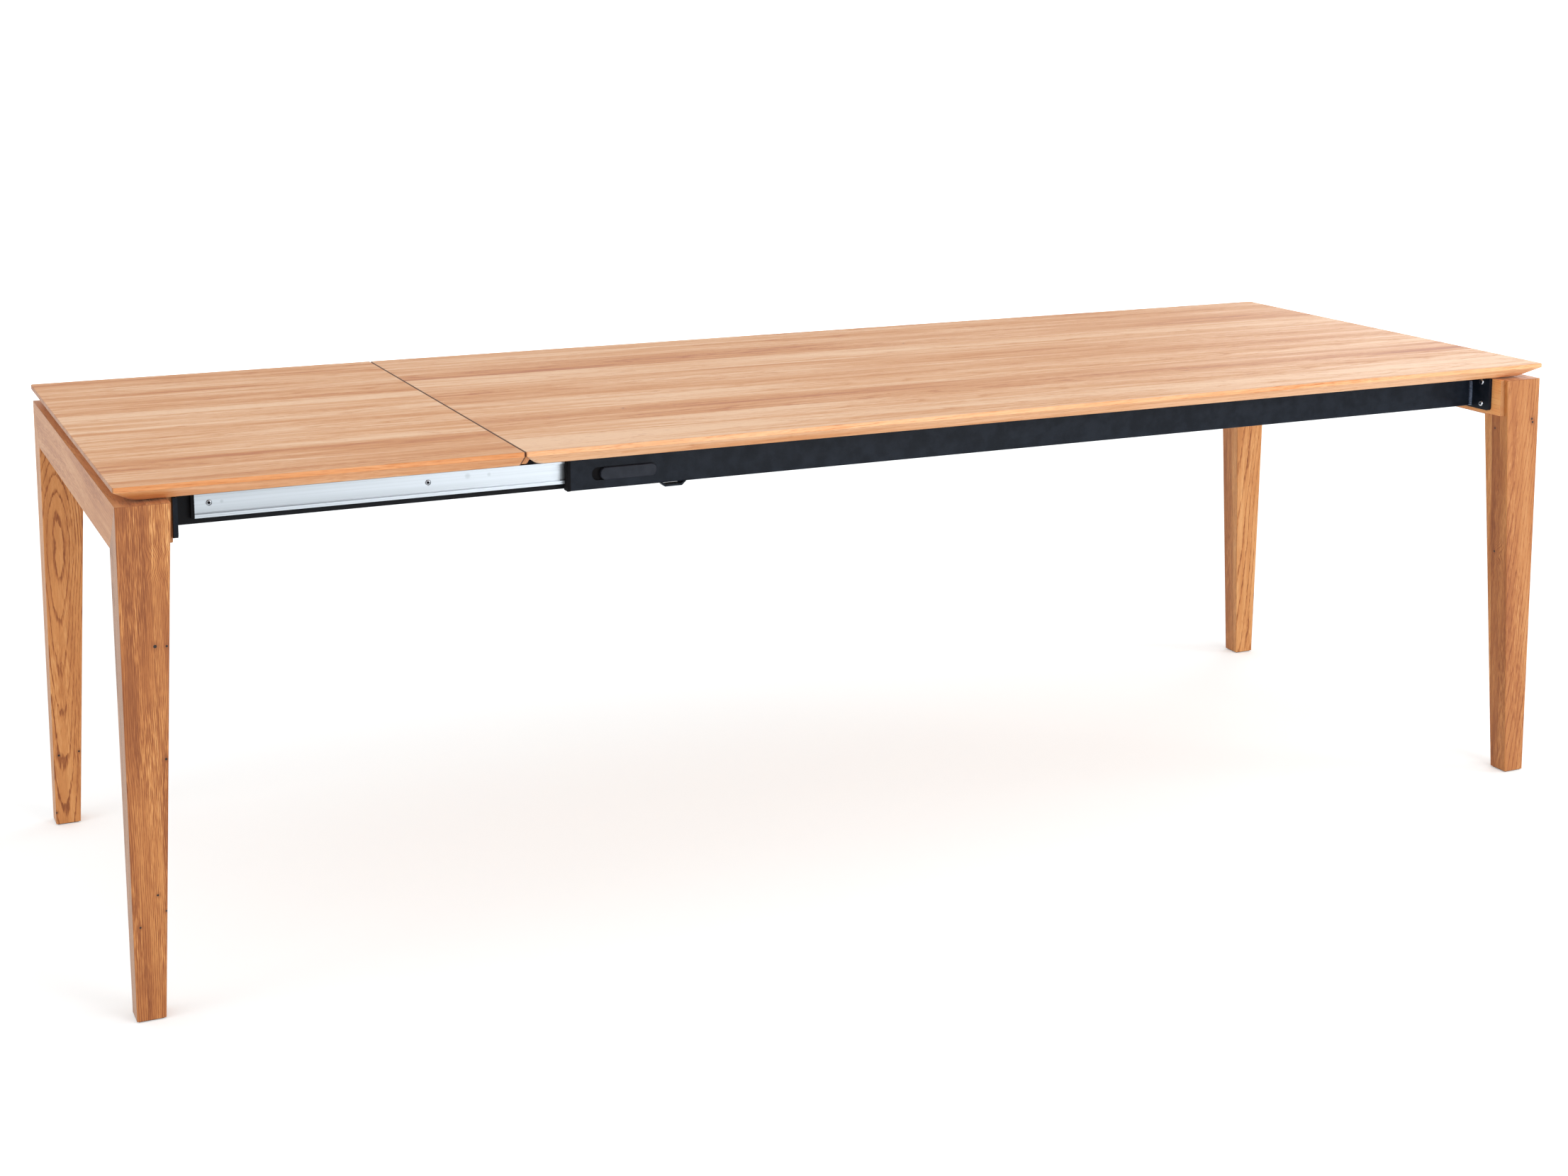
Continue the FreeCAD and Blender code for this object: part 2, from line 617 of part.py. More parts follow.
def make_weld_beads(end):
    """One upright bead where each beam meets its plate, with a slightly bulging face."""
    body = frame_body(END_NAMES[end] + "_weld_beads", end)
    seat = "batten_reach + plate_thick"
    if end == RIGHT:
        corner, outward, low, high = "-beam_side", -1, "beam_low", "beam_height"
    else:
        corner, outward, low, high = "-(inner_side - inner_depth)", 1, "inner_low", "inner_height"
    bead = new_sketch(body, "XY", low + " + weld_end")
    polygon(bead, [(inward(end, seat), corner), (inward(end, seat + " + weld_leg"), corner),
                   (inward(end, seat + " + weld_crown"), "%s + %d * weld_crown" % (corner, outward)),
                   (inward(end, seat), "%s + %d * weld_leg" % (corner, outward))])
    stick = pad(body, bead, high + " - 2 * weld_end")
    repeat(body, [stick], ("mirror", "XZ"))
    return body


def make_floor_glides(end):
    """A felt glide under each foot."""
    body = frame_body(END_NAMES[end] + "_floor_glides", end)
    outline = new_sketch(body, "XY")
    rectangle(outline, inward(end, "glide_margin"), inward(end, "leg_foot_width - glide_margin"),
              "-(leg_side - glide_margin)", "-(leg_side - leg_foot_depth + glide_margin)")
    one = pad(body, outline, "glide_thick")
    repeat(body, [one], ("mirror", "XZ"))
    return body


def make_rail_pads(end):
    """Rubber pads on the end rail; the leaf lies just above the left ones, the fixed top on the right."""
    body = frame_body(END_NAMES[end] + "_rail_pads", end)
    outline = new_sketch(body, "XY", "leg_top")
    middle = inward(end, "leg_head_width / 2")
    rectangle(outline, middle + " - pad_size / 2", middle + " + pad_size / 2",
              "-(pad_pitch + pad_size / 2)", "-(pad_pitch - pad_size / 2)")
    one = pad(body, outline, "top_clear - leaf_seat" if end == LEFT else "top_clear")
    repeat(body, [one], ("Y", "pad_pitch", "3"))
    return body


# ---------------------------------------------------------------------------------------------
# Beams: every piece is drawn from the face of the outer beam, inwards
# ---------------------------------------------------------------------------------------------
def into(side, text):
    """A Y in a beam: text counts from the beam's outer face towards the middle of the table."""
    return "%d * (%s)" % (-side, text)


def beam_body(name, side, x):
    return new_body("%s_%s" % (SIDE_NAMES[side], name), x=x, y="%d * beam_side" % side, z="beam_low")


def make_outer_beam(side):
    """A steel channel, open to the inside, with the slot of the latch in its face."""
    body = beam_body("outer_beam", side, "channel_x")
    section = new_sketch(body, "YZ")
    lower, upper = "channel_wall", "beam_height - channel_wall"
    polygon(section, [("0", "0"), (into(side, "channel_depth"), "0"), (into(side, "channel_depth"), lower),
                      (into(side, "channel_wall"), lower), (into(side, "channel_wall"), upper),
                      (into(side, "channel_depth"), upper), (into(side, "channel_depth"), "beam_height"),
                      ("0", "beam_height")])
    pad(body, section, "channel_length")
    fillet(body, "channel_round", lambda edge: runs_along("X", LONG_EDGE)(edge) and lies_at("Y", "0")(edge))

    slot = new_sketch(body, "XZ")
    rectangle(slot, "knob_start - latch_travel - knob_clear - guide_flange",
              "knob_start + knob_length + knob_clear - guide_flange",
              "knob_low - knob_clear", "knob_low + knob_height + knob_clear")
    pocket(body, slot, "channel_depth")
    fillet(body, "knob_round + knob_clear", lambda edge: runs_along("Y")(edge)
           and TINY < edge.BoundBox.XMin < number("channel_length") / 2)
    return body


def make_inner_beam(side):
    """A steel tube behind the channel, welded to the left plate, drilled for its rail screws."""
    body = beam_body("inner_beam", side, "inner_x")
    face = "channel_depth + inner_set_back"
    low = "inner_low - beam_low"
    section = new_sketch(body, "YZ")
    rectangle(section, into(side, face), into(side, face + " + inner_depth"),
              low, low + " + inner_height")
    rectangle(section, into(side, face + " + inner_wall"),
              into(side, face + " + inner_depth - inner_wall"),
              low + " + inner_wall", low + " + inner_height - inner_wall")
    pad(body, section, "inner_length")
    outer, inner = (lies_at("Y", into(side, text)) for text in (face, face + " + inner_depth"))
    fillet(body, "inner_round", lambda edge: runs_along("X", LONG_EDGE)(edge)
           and (outer(edge) or inner(edge)))
    hole = new_sketch(body, "XZ", "%d * (%s + inner_wall / 2)" % (side, face))
    circle(hole, "slide_start + slide_screw_start", "slide_rise + slide_screw_rise",
           "slide_screw_shank + 2 * hole_clear")
    bore = pocket(body, hole, "2 * inner_wall")
    repeat(body, [bore], ("X", "slide_screw_pitch", "slide_screw_count"))
    return body


def make_slide_rail(side):
    """An aluminium channel rail with a groove beside each lip and sunk seats for its screws."""
    body = beam_body("slide_rail", side, "slide_x")
    back = "channel_depth + inner_set_back"
    low, high = "slide_rise", "slide_rise + slide_height"
    front, floor = back + " - slide_depth", back + " - slide_web"
    groove, line = floor + " + slide_groove", front + " + slide_line"
    line_low, line_high = low + " + slide_line_rise", low + " + slide_line_rise + slide_line"
    foot, lip = low + " + slide_foot_lip", high + " - slide_lip"
    foot_web, lip_web = foot + " + slide_foot_groove", lip + " - slide_groove"
    section = new_sketch(body, "YZ")
    rising = [(back, low), (front, low), (front, line_low), (line, line_low), (line, line_high),
              (front, line_high), (front, foot), (groove, foot), (groove, foot_web), (floor, foot_web)]
    falling = [(floor, lip_web), (groove, lip_web), (groove, lip), (front, lip), (front, high), (back, high)]
    polygon(section, [(into(side, depth), height) for depth, height in rising + falling])
    pad(body, section, "slide_length")

    centre = ("slide_screw_start", "slide_rise + slide_screw_rise")
    seat = new_sketch(body, "XZ", "%d * (%s)" % (side, floor))
    circle(seat, *centre, "slide_screw_head + 2 * hole_clear")
    sunk = pocket(body, seat, "2 * slide_screw_sunk")
    hole = new_sketch(body, "XZ", "%d * (%s)" % (side, back))
    circle(hole, *centre, "slide_screw_shank + 2 * hole_clear")
    bore = pocket(body, hole, "2 * slide_web")
    repeat(body, [sunk, bore], ("X", "slide_screw_pitch", "slide_screw_count"))
    return body


def make_slide_screws():
    """The screws of both slide rails, their heads level with the web."""
    body = new_body("slide_rail_screws", x="slide_x")
    face = "beam_side - slide_floor"
    centre = ("slide_screw_start", "slide_low + slide_screw_rise")
    disc = new_sketch(body, "XZ", face + " - slide_screw_sunk")
    circle(disc, *centre, "slide_screw_head")
    head = pad(body, disc, "slide_screw_sunk")
    core = new_sketch(body, "XZ", face + " - slide_screw_sunk")
    circle(core, *centre, "slide_screw_shank")
    reach = "slide_web - slide_screw_sunk + inner_wall + slide_screw_past"
    shank = pad(body, core, reach, backwards=True)
    repeat(body, [head, shank], ("X", "slide_screw_pitch", "slide_screw_count"), ("mirror", "XZ"))
    return body


def make_slide_end_blocks():
    """A block closes the left end of each slide rail."""
    body = new_body("slide_end_blocks", x="slide_x", z="slide_low")
    outline = new_sketch(body, "YZ")
    rectangle(outline, "-(beam_side - slide_front)", "-inner_side", "0", "slide_height")
    block = pad(body, outline, "end_block", backwards=True)
    repeat(body, [block], ("mirror", "XZ"))
    return body


def make_slide_stops():
    """A stop in each slide rail meets the second glide block when the end is drawn out."""
    body = new_body("slide_stops", x="slide_x + slide_length", z="slide_low")
    outline = new_sketch(body, "YZ")
    rectangle(outline, "-(beam_side - slide_front)", "-(beam_side - slide_floor)",
              "slide_foot_lip", "slide_height - slide_lip")
    block = pad(body, outline, "stop_length", backwards=True)
    repeat(body, [block], ("mirror", "XZ"))
    return body


def make_inner_caps():
    """A plug closes the free end of each inner beam."""
    body = new_body("inner_beam_caps", x="inner_x + inner_length", z="inner_low")
    flange = new_sketch(body, "YZ")
    rectangle(flange, "-inner_side", "-(inner_side - inner_depth)", "0", "inner_height")
    lid = pad(body, flange, "cap_flange")
    core = new_sketch(body, "YZ")
    rectangle(core, "-(inner_side - inner_wall)", "-(inner_side - inner_depth + inner_wall)",
              "inner_wall", "inner_height - inner_wall")
    plug = pad(body, core, "cap_plug", backwards=True)
    repeat(body, [lid, plug], ("mirror", "XZ"))
    return body


def make_cross_ties():
    """Two square-ended tubes hold the inner beams parallel."""
    body = new_body("inner_cross_ties", x="inner_x + tie_first",
                    z="inner_low + (inner_height - tie_height) / 2")
    section = new_sketch(body, "XZ")
    rectangle(section, "0", "tie_width", "0", "tie_height")
    rectangle(section, "inner_wall", "tie_width - inner_wall", "inner_wall", "tie_height - inner_wall")
    tube = pad(body, section, "2 * (inner_side - inner_depth)", symmetric=True)
    repeat(body, [tube], ("X", "tie_pitch", "2"))
    return body


def guide_section(side, edge, depth):
    """A channel-shaped section that leaves the slide rail its running clearance."""
    pocket_low, pocket_high = "slide_rise - slide_clear", "slide_rise + slide_height + slide_clear"
    floor = "slide_front - slide_clear"
    high = "beam_height - (%s)" % edge
    return [(into(side, edge), edge), (into(side, depth), edge), (into(side, depth), pocket_low),
            (into(side, floor), pocket_low), (into(side, floor), pocket_high),
            (into(side, depth), pocket_high), (into(side, depth), high), (into(side, edge), high)]


def make_mouth_guide(side):
    """A moulded collar on the mouth of the channel, wrapped round the slide rail."""
    body = beam_body("mouth_guide", side, "channel_x")
    collar = new_sketch(body, "YZ")
    polygon(collar, guide_section(side, "0", "channel_depth - slide_clear"))
    pad(body, collar, "guide_flange", backwards=True)
    insert = new_sketch(body, "YZ")
    polygon(insert, guide_section(side, "channel_wall", "channel_depth - slide_clear"))
    pad(body, insert, "guide_deep")
    fillet(body, "guide_round", lambda edge: lies_at("Y", "0")(edge)
           and not lies_at("X", "0")(edge))
    return body


def make_glide_blocks(side):
    """Two moulded blocks fill the channel and reach between the lips of the slide rail."""
    body = beam_body("glide_blocks", side, "glide_block_x")
    wall, high = "channel_wall", "beam_height - channel_wall"
    floor = "slide_front - slide_clear"
    tongue = "slide_floor - slide_clear"
    tongue_low = "slide_rise + slide_foot_lip + slide_clear"
    tongue_high = "slide_rise + slide_height - slide_lip - slide_clear"
    section = new_sketch(body, "YZ")
    polygon(section, [(into(side, wall), wall), (into(side, floor), wall), (into(side, floor), tongue_low),
                      (into(side, tongue), tongue_low), (into(side, tongue), tongue_high),
                      (into(side, floor), tongue_high), (into(side, floor), high), (into(side, wall), high)])
    block = pad(body, section, "glide_block")
    repeat(body, [block], ("-X", "glide_block_pitch", "2"))
    return body


# ---------------------------------------------------------------------------------------------
# Latches
# ---------------------------------------------------------------------------------------------
def make_latch_knob(side):
    """The flat grip in the slot of the beam."""
    body = beam_body("latch_knob", side, "mouth_x + knob_start")
    outline = new_sketch(body, "XZ", "%d * (-knob_proud)" % side)
    rectangle(outline, "0", "knob_length", "knob_low", "knob_low + knob_height")
    pad(body, outline, "knob_proud + channel_wall + slider_clear", backwards=side == FRONT)
    fillet(body, "knob_round", runs_along("Y"))
    chamfer(body, "knob_ease", lies_at("Y", "%d * knob_proud" % side))
    return body


def make_latch_slider(side):
    """The plate behind the slot, which keeps the grip in and carries the brake shoe."""
    body = beam_body("latch_slider", side, "mouth_x + knob_start - slider_margin")
    outline = new_sketch(body, "XZ", "%d * (channel_wall + slider_clear)" % side)
    centre = "knob_low + knob_height / 2"
    rectangle(outline, "0", "knob_length + 2 * slider_margin",
              centre + " - slider_height / 2", centre + " + slider_height / 2")
    pad(body, outline, "slider_thick", backwards=side == FRONT)
    fillet(body, "plate_round", runs_along("Y"))
    return body


def make_brake_shoe(side):
    """The rubber shoe that reaches between the lips of the slide rail."""
    body = beam_body("brake_shoe", side, "mouth_x + knob_start + (knob_length - shoe_length) / 2")
    back = "channel_wall + slider_clear + slider_thick"
    centre = "slide_rise + (slide_height + slide_foot_lip - slide_lip) / 2"
    outline = new_sketch(body, "XZ", "%d * (%s)" % (side, back))
    rectangle(outline, "0", "shoe_length",
              centre + " - shoe_height / 2", centre + " + shoe_height / 2")
    pad(body, outline, "slide_floor - shoe_clear - (%s)" % back, backwards=side == FRONT)
    fillet(body, "leg_ease", runs_along("Y"))
    return body


def make_keeper_strap(side):
    """A folded strap under the channel, below the latch."""
    body = beam_body("keeper_strap", side, "mouth_x + strap_start")
    outline = new_sketch(body, "XZ", "%d * (channel_depth - strap_depth) / 2" % side)
    polygon(outline, [("0", "0"), ("strap_slope", "-strap_drop"),
                      ("strap_length - strap_slope", "-strap_drop"), ("strap_length", "0"),
                      ("strap_length - strap_foot", "0"),
                      ("strap_length - strap_slope - strap_thick / 2", "strap_thick - strap_drop"),
                      ("strap_slope + strap_thick / 2", "strap_thick - strap_drop"), ("strap_foot", "0")])
    pad(body, outline, "strap_depth", backwards=side == FRONT)
    return body


# ---------------------------------------------------------------------------------------------
# What carries the tops
# ---------------------------------------------------------------------------------------------
def make_cross_rails():
    """Flat bars across both channels, bored for the screws of the fixed top."""
    body = new_body("cross_rails", x="mouth_x + cross_first", z="beam_top")
    outline = new_sketch(body, "XY")
    rectangle(outline, "0", "cross_width", "-beam_side", "beam_side")
    for side in (FRONT, REAR):
        circle(outline, "cross_width / 2", "%d * top_screw_pitch / 2" % side,
               "top_screw_shank + 2 * hole_clear")
    bar = pad(body, outline, "beam_air")
    repeat(body, [bar], ("X", "cross_pitch", "3"))
    return body


TOP_SCREW_COPIES = (("X", "cross_pitch", "3"), ("mirror", "XZ"))
SPACER_COPIES = (("X", "spacer_pitch", "2"), ("mirror", "XZ"))
TONGUE_SCREW_COPIES = (("X", "tongue_hold / 2", "2"), ("Y", "tongue_pitch", "2"))
TOP_SCREW_PLACE = ("mouth_x + cross_first + cross_width / 2", "-top_screw_pitch / 2")
SPACER_SCREW_PLACE = ("mouth_x + spacer_first + cross_width / 2", "-(beam_side - spacer_screw_in)")
TONGUE_SCREW_PLACE = ("main_x + bevel_run + tongue_hold / 4", "-tongue_pitch / 2")


def make_top_fasteners(label, place, seat, copies, head_high="top_screw_high"):
    """Pan-head screws that point up; the heads hang below their seat."""
    body = new_body(label)
    disc = new_sketch(body, "XY", seat)
    circle(disc, *place, "top_screw_head")
    head = pad(body, disc, head_high, backwards=True)
    core = new_sketch(body, "XY", seat)
    circle(core, *place, "top_screw_shank")
    shank = pad(body, core, "top_screw_length")
    repeat(body, [head, shank], *copies)
    return body


def make_top_screws():
    """Screws up through the cross rails into the fixed top."""
    return make_top_fasteners("top_screws", TOP_SCREW_PLACE, "beam_top", TOP_SCREW_COPIES)


def make_spacers():
    """Blocks between the channels and the fixed top, next to the mouths."""
    body = new_body("top_spacers", x="mouth_x + spacer_first", z="beam_top")
    outline = new_sketch(body, "XY")
    rectangle(outline, "0", "cross_width", "-beam_side", "-(beam_side - channel_depth)")
    circle(outline, "cross_width / 2", "-(beam_side - spacer_screw_in)", "top_screw_shank + 2 * hole_clear")
    block = pad(body, outline, "beam_air")
    repeat(body, [block], *SPACER_COPIES)
    return body


def make_spacer_screws():
    """Screws up through the upper flange of each channel and its spacer into the fixed top."""
    return make_top_fasteners("spacer_screws", SPACER_SCREW_PLACE, "beam_top - channel_wall",
                              SPACER_COPIES)


def make_locating_plates():
    """Steel tongues under the end of the fixed top, which carry and level the end of the leaf."""
    body = new_body("locating_plates", x="main_x", z="underside")
    start = "-(joint_gap + tongue_reach)"
    end = "bevel_run + tongue_hold"
    profile = new_sketch(body, "XZ", "tongue_pitch / 2 - tongue_width / 2")
    polygon(profile, [(start, "-tongue_thick"), (end, "-tongue_thick"), (end, "0"), ("bevel_run", "0"),
                      ("bevel_run - tongue_ramp", "-leaf_seat"), (start, "-leaf_seat")])
    tongue = pad(body, profile, "tongue_width")
    bores = new_sketch(body, "XY")
    seats = new_sketch(body, "XY", "-tongue_thick")
    for share in ("1 / 4", "3 / 4"):
        centre = ("bevel_run + tongue_hold * " + share, "-tongue_pitch / 2")
        circle(bores, *centre, "top_screw_shank + 2 * hole_clear")
        circle(seats, *centre, "top_screw_head + 2 * hole_clear")
    through = pocket(body, bores, "3 * tongue_thick")
    sunk = pocket(body, seats, "2 * tongue_sunk")
    repeat(body, [tongue, through, sunk], ("Y", "tongue_pitch", "2"))
    return body


def make_locating_screws():
    """Screws up through the locating plates into the fixed top, their heads sunk into the plates."""
    return make_top_fasteners("locating_screws", TONGUE_SCREW_PLACE,
                              "underside - tongue_thick + tongue_sunk", TONGUE_SCREW_COPIES,
                              head_high="tongue_sunk")


def bore_fixed_top(body):
    """Blind bores in the underside for all the screws that come up into the fixed top."""
    fields = ((TOP_SCREW_PLACE, "beam_top", TOP_SCREW_COPIES),
              (SPACER_SCREW_PLACE, "beam_top - channel_wall", SPACER_COPIES),
              (TONGUE_SCREW_PLACE, "underside - tongue_thick + tongue_sunk", TONGUE_SCREW_COPIES))
    for place, seat, copies in fields:
        ring = new_sketch(body, "XY", "underside")
        circle(ring, *place, "top_screw_shank + 2 * hole_clear")
        depth = "%s + top_screw_length + screw_tip_clear - underside" % seat
        bore = pocket(body, ring, depth, backwards=True, symmetric=False)
        repeat(body, [bore], *copies)


def bore_channel(body, side):
    """Bores in the upper flange of a channel for the screws through the spacers."""
    ring = new_sketch(body, "XY", "beam_height - channel_wall / 2")
    circle(ring, "spacer_first + cross_width / 2 - guide_flange", into(side, "spacer_screw_in"),
           "top_screw_shank + 2 * hole_clear")
    bore = pocket(body, ring, "2 * channel_wall")
    repeat(body, [bore], ("X", "spacer_pitch", "2"))


def make_bearers():
    """Blocks on the inner beams, just under the leaf."""
    body = new_body("leaf_bearers", x="inner_x + bearer_first", z="beam_top - inner_clear")
    outline = new_sketch(body, "XY")
    rectangle(outline, "0", "bearer_length", "-inner_side", "-(inner_side - inner_depth)")
    block = pad(body, outline, "beam_air + inner_clear - leaf_seat")
    repeat(body, [block], ("X", "bearer_pitch", "2"), ("mirror", "XZ"))
    return body


# ---------------------------------------------------------------------------------------------
# The whole table
# ---------------------------------------------------------------------------------------------
def make_table():
    """Every sub-part, in the order of the moving groups."""
    fixed_top = make_slab("main_top", "main_x", "half_length", bevel_right=True)
    bore_fixed_top(fixed_top)
    pieces = [fixed_top, make_slab("leaf", "-half_length", "joint_x", bevel_right=False),
              make_joint_lipping(), make_locating_plates(), make_locating_screws(),
              make_cross_rails(), make_top_screws(), make_spacers(), make_spacer_screws()]
    for end in (LEFT, RIGHT):
        pieces += [make_leg(end, FRONT), make_leg(end, REAR), make_end_rail(end), make_batten(end),
                   make_flange_plate(end, FRONT), make_flange_plate(end, REAR), make_plate_screws(end),
                   make_weld_beads(end), make_floor_glides(end), make_rail_pads(end)]
    for side in (FRONT, REAR):
        channel = make_outer_beam(side)
        bore_channel(channel, side)
        pieces += [channel, make_inner_beam(side), make_slide_rail(side), make_mouth_guide(side),
                   make_glide_blocks(side), make_latch_knob(side), make_latch_slider(side),
                   make_brake_shoe(side), make_keeper_strap(side)]
    pieces += [make_slide_screws(), make_slide_end_blocks(), make_slide_stops(), make_inner_caps(),
               make_cross_ties(), make_bearers()]
    return pieces


def check(pieces):
    """Stop if the document or a piece has failed."""
    doc.recompute()
    for thing in doc.Objects:
        failed = [word for word in thing.State if word in ("Invalid", "Error")]
        assert not failed, "%s is %s" % (thing.Name, failed)
    for piece in pieces:
        assert not piece.Shape.isNull() and piece.Shape.isValid(), piece.Label + " has no valid shape"
        assert all(solid.Volume > 0 for solid in piece.Shape.Solids), piece.Label + " is inside out"


def export(pieces):
    os.makedirs("parts", exist_ok=True)
    for piece in pieces:
        piece.Shape.exportStep("parts/%s.step" % piece.Label)


table = make_table()
check(table)
export(table)
print(len(table), "sub-parts,", sum(len(piece.Shape.Solids) for piece in table), "solids")
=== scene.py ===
# %% [markdown]
# ## A draw leaf table in oak and black steel
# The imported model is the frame: every solid piece of the table is already there, in metres, in its
# place.  This script gives each piece its finish, models the small hardware that a close look
# deserves, and sets up a plain studio.  Each step is a cell, and says what it made.

# %% Load the frame
import math
import bmesh
import bpy
from mathutils import Matrix, Vector


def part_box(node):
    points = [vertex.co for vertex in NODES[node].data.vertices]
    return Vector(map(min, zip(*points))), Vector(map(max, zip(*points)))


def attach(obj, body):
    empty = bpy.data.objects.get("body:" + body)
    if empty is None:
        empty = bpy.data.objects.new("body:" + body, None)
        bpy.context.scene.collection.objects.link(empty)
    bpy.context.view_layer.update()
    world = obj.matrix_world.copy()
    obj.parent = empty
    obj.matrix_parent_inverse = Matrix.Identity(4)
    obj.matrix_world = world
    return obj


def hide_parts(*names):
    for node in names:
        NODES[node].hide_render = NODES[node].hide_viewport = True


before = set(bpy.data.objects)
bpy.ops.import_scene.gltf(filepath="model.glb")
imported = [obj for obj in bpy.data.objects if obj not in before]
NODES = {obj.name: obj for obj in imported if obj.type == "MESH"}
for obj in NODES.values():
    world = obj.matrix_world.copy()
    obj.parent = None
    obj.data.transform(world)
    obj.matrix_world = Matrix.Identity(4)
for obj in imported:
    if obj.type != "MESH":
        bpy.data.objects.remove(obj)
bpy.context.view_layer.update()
MM = 0.001

# %% [markdown]
# ## Camera
# The camera stands in front of the drawn-out end, a little above the table top, and looks along the
# table.  Its place and turn are plain numbers.  The lens shift moves the picture without tilting the
# camera, so upright legs stay nearly upright.

# %% Place the camera
PICTURE_WIDTH, PICTURE_HEIGHT = 2212, 1659
SENSOR_WIDTH = 36
FOCAL_PIXELS = 3305.5
PRINCIPAL_X, PRINCIPAL_Y = 1219.3, 465.9
CAMERA_PLACE = (-1.679, -3.652, 1.437)
CAMERA_YAW, CAMERA_PITCH, CAMERA_ROLL = 0.4535, 0.1484, 0.0035
camera_data = bpy.data.cameras.new("camera")
camera_data.sensor_width = SENSOR_WIDTH
camera_data.lens = FOCAL_PIXELS / PICTURE_WIDTH * SENSOR_WIDTH
camera_data.shift_x = (PICTURE_WIDTH / 2 - PRINCIPAL_X) / PICTURE_WIDTH
camera_data.shift_y = (PRINCIPAL_Y - PICTURE_HEIGHT / 2) / PICTURE_WIDTH
camera = bpy.data.objects.new("camera", camera_data)
bpy.context.scene.collection.objects.link(camera)
camera.matrix_world = (Matrix.Translation(CAMERA_PLACE)
                       @ Matrix.Rotation(-CAMERA_YAW, 4, "Z")
                       @ Matrix.Rotation(math.pi / 2 - CAMERA_PITCH, 4, "X")
                       @ Matrix.Rotation(CAMERA_ROLL, 4, "Z"))
bpy.context.scene.camera = camera
print("camera: %.1f mm lens" % camera_data.lens)

# %% [markdown]
# ## Helpers for shader nodes
# Every finish below is a small network of nodes.  `feed` writes a number on a socket or links another
# node to it, and `node` adds one node with its settings.  `calc`, `fade`, `noise`, `mix_colour` and
# `bump` each add one step that is needed often, and `new_material` starts a network.

# %% Node helpers
def feed(tree, value, socket):
    """Links another node's output to a socket, or writes a number or colour on it."""
    if isinstance(value, bpy.types.NodeSocket):
        tree.links.new(value, socket)
    else:
        socket.default_value = value


def node(tree, kind, inputs=None, **settings):
    made = tree.nodes.new("ShaderNode" + kind)
    for name, value in settings.items():
        setattr(made, name, value)
    for name, value in (inputs or {}).items():
        feed(tree, value, made.inputs[name])
    return made


def calc(tree, operation, *values):
    made = node(tree, "Math", operation=operation)
    for value, socket in zip(values, made.inputs):
        feed(tree, value, socket)
    return made.outputs[0]


def fade(tree, value, start, end, at_start=0.0, at_end=1.0):
    """A smooth step from one value to another while `value` goes from start to end."""
    made = node(tree, "MapRange", interpolation_type="SMOOTHSTEP")
    for socket, number in zip(made.inputs, (value, start, end, at_start, at_end)):
        feed(tree, number, socket)
    return made.outputs[0]


def noise(tree, vector, scale=1.0, detail=2.0, roughness=0.5):
    made = node(tree, "TexNoise", {"Vector": vector, "Scale": scale, "Detail": detail,
                                   "Roughness": roughness})
    return made.outputs["Fac"]


def mix_colour(tree, factor, first, second, blend="MIX"):
    made = node(tree, "Mix", data_type="RGBA", blend_type=blend)
    feed(tree, factor, made.inputs["Factor"])
    for socket, value in zip((s for s in made.inputs if s.type == "RGBA"), (first, second)):
        feed(tree, value, socket)
    return next(s for s in made.outputs if s.type == "RGBA")


def bump(tree, height, distance, strength=1.0):
    made = node(tree, "Bump", {"Height": height, "Distance": distance, "Strength": strength})
    return made.outputs["Normal"]


def new_material(name):
    """An empty node material: its tree, its surface shader and the piece's own coordinates."""
    material = bpy.data.materials.new(name)
    material.use_nodes = True
    tree = material.node_tree
    shader = tree.nodes["Principled BSDF"]
    place = node(tree, "TexCoord").outputs["Object"]
    return material, tree, shader, place


print("helpers: feed, node, calc, fade, noise, mix_colour, bump and new_material")

# %% [markdown]
# ## Oak
# A tree grows in rings round its pith, and a board is a slice through them.  The node group below
# takes a point of a board, measured from the pith of its tree.  Its distance from the pith gives the
# rings: straight lines on a face square to them, cathedrals and ovals on a face that only grazes
# them.  Slow noise makes the tree sway, quicker noise gives each ring a ripple and a jittery edge,
# and a patchy one breaks the ring lines up, as real ones are.  Bands, streaks and fine flecks lie
# along the board, and short dark pores open in the early part of each ring.
#
# Each pattern is one noise, pulled out along the board, so that what lies on it becomes long and
# narrow.  The table says how many waves it has in a metre, along the board and across it.

# %% The grain of one board
# pattern: waves along, waves across, detail, roughness
PATTERNS = {
    "sway": (2.6, 11.0, 2.0, 0.5),
    "ripple": (9.0, 60.0, 2.0, 0.5),
    "jitter": (70.0, 420.0, 1.0, 0.5),
    "patches": (1.9, 20.0, 1.0, 0.5),
    "bands": (1.0, 26.0, 2.0, 0.5),
    "streaks": (3.6, 75.0, 3.0, 0.6),
    "flecked": (4.0, 34.0, 1.0, 0.5),
    "flecks": (42.0, 800.0, 2.0, 0.6),
    "dashes": (55.0, 1100.0, 1.0, 0.5),
}
GRAIN_INPUTS = ("Along", "Across", "Depth", "Board", "Bend", "Ring Width", "Rings", "Bands", "Streaks",
                "Flecks")
BOARD_SHIFT = 7.3                # metres along the noise from one board to the next
SWAY = 24 * MM                   # how far the tree wanders
RIPPLED, JITTERED = 0.9, 0.28    # how far a ring line strays, in rings
DARKEST, EARLY_END = 0.08, 0.36  # the early part of a ring, as parts of the ring
MIDDLE_TONE = 0.62
OPEN_PORES = 0.3                 # how many of the pores open outside the early part
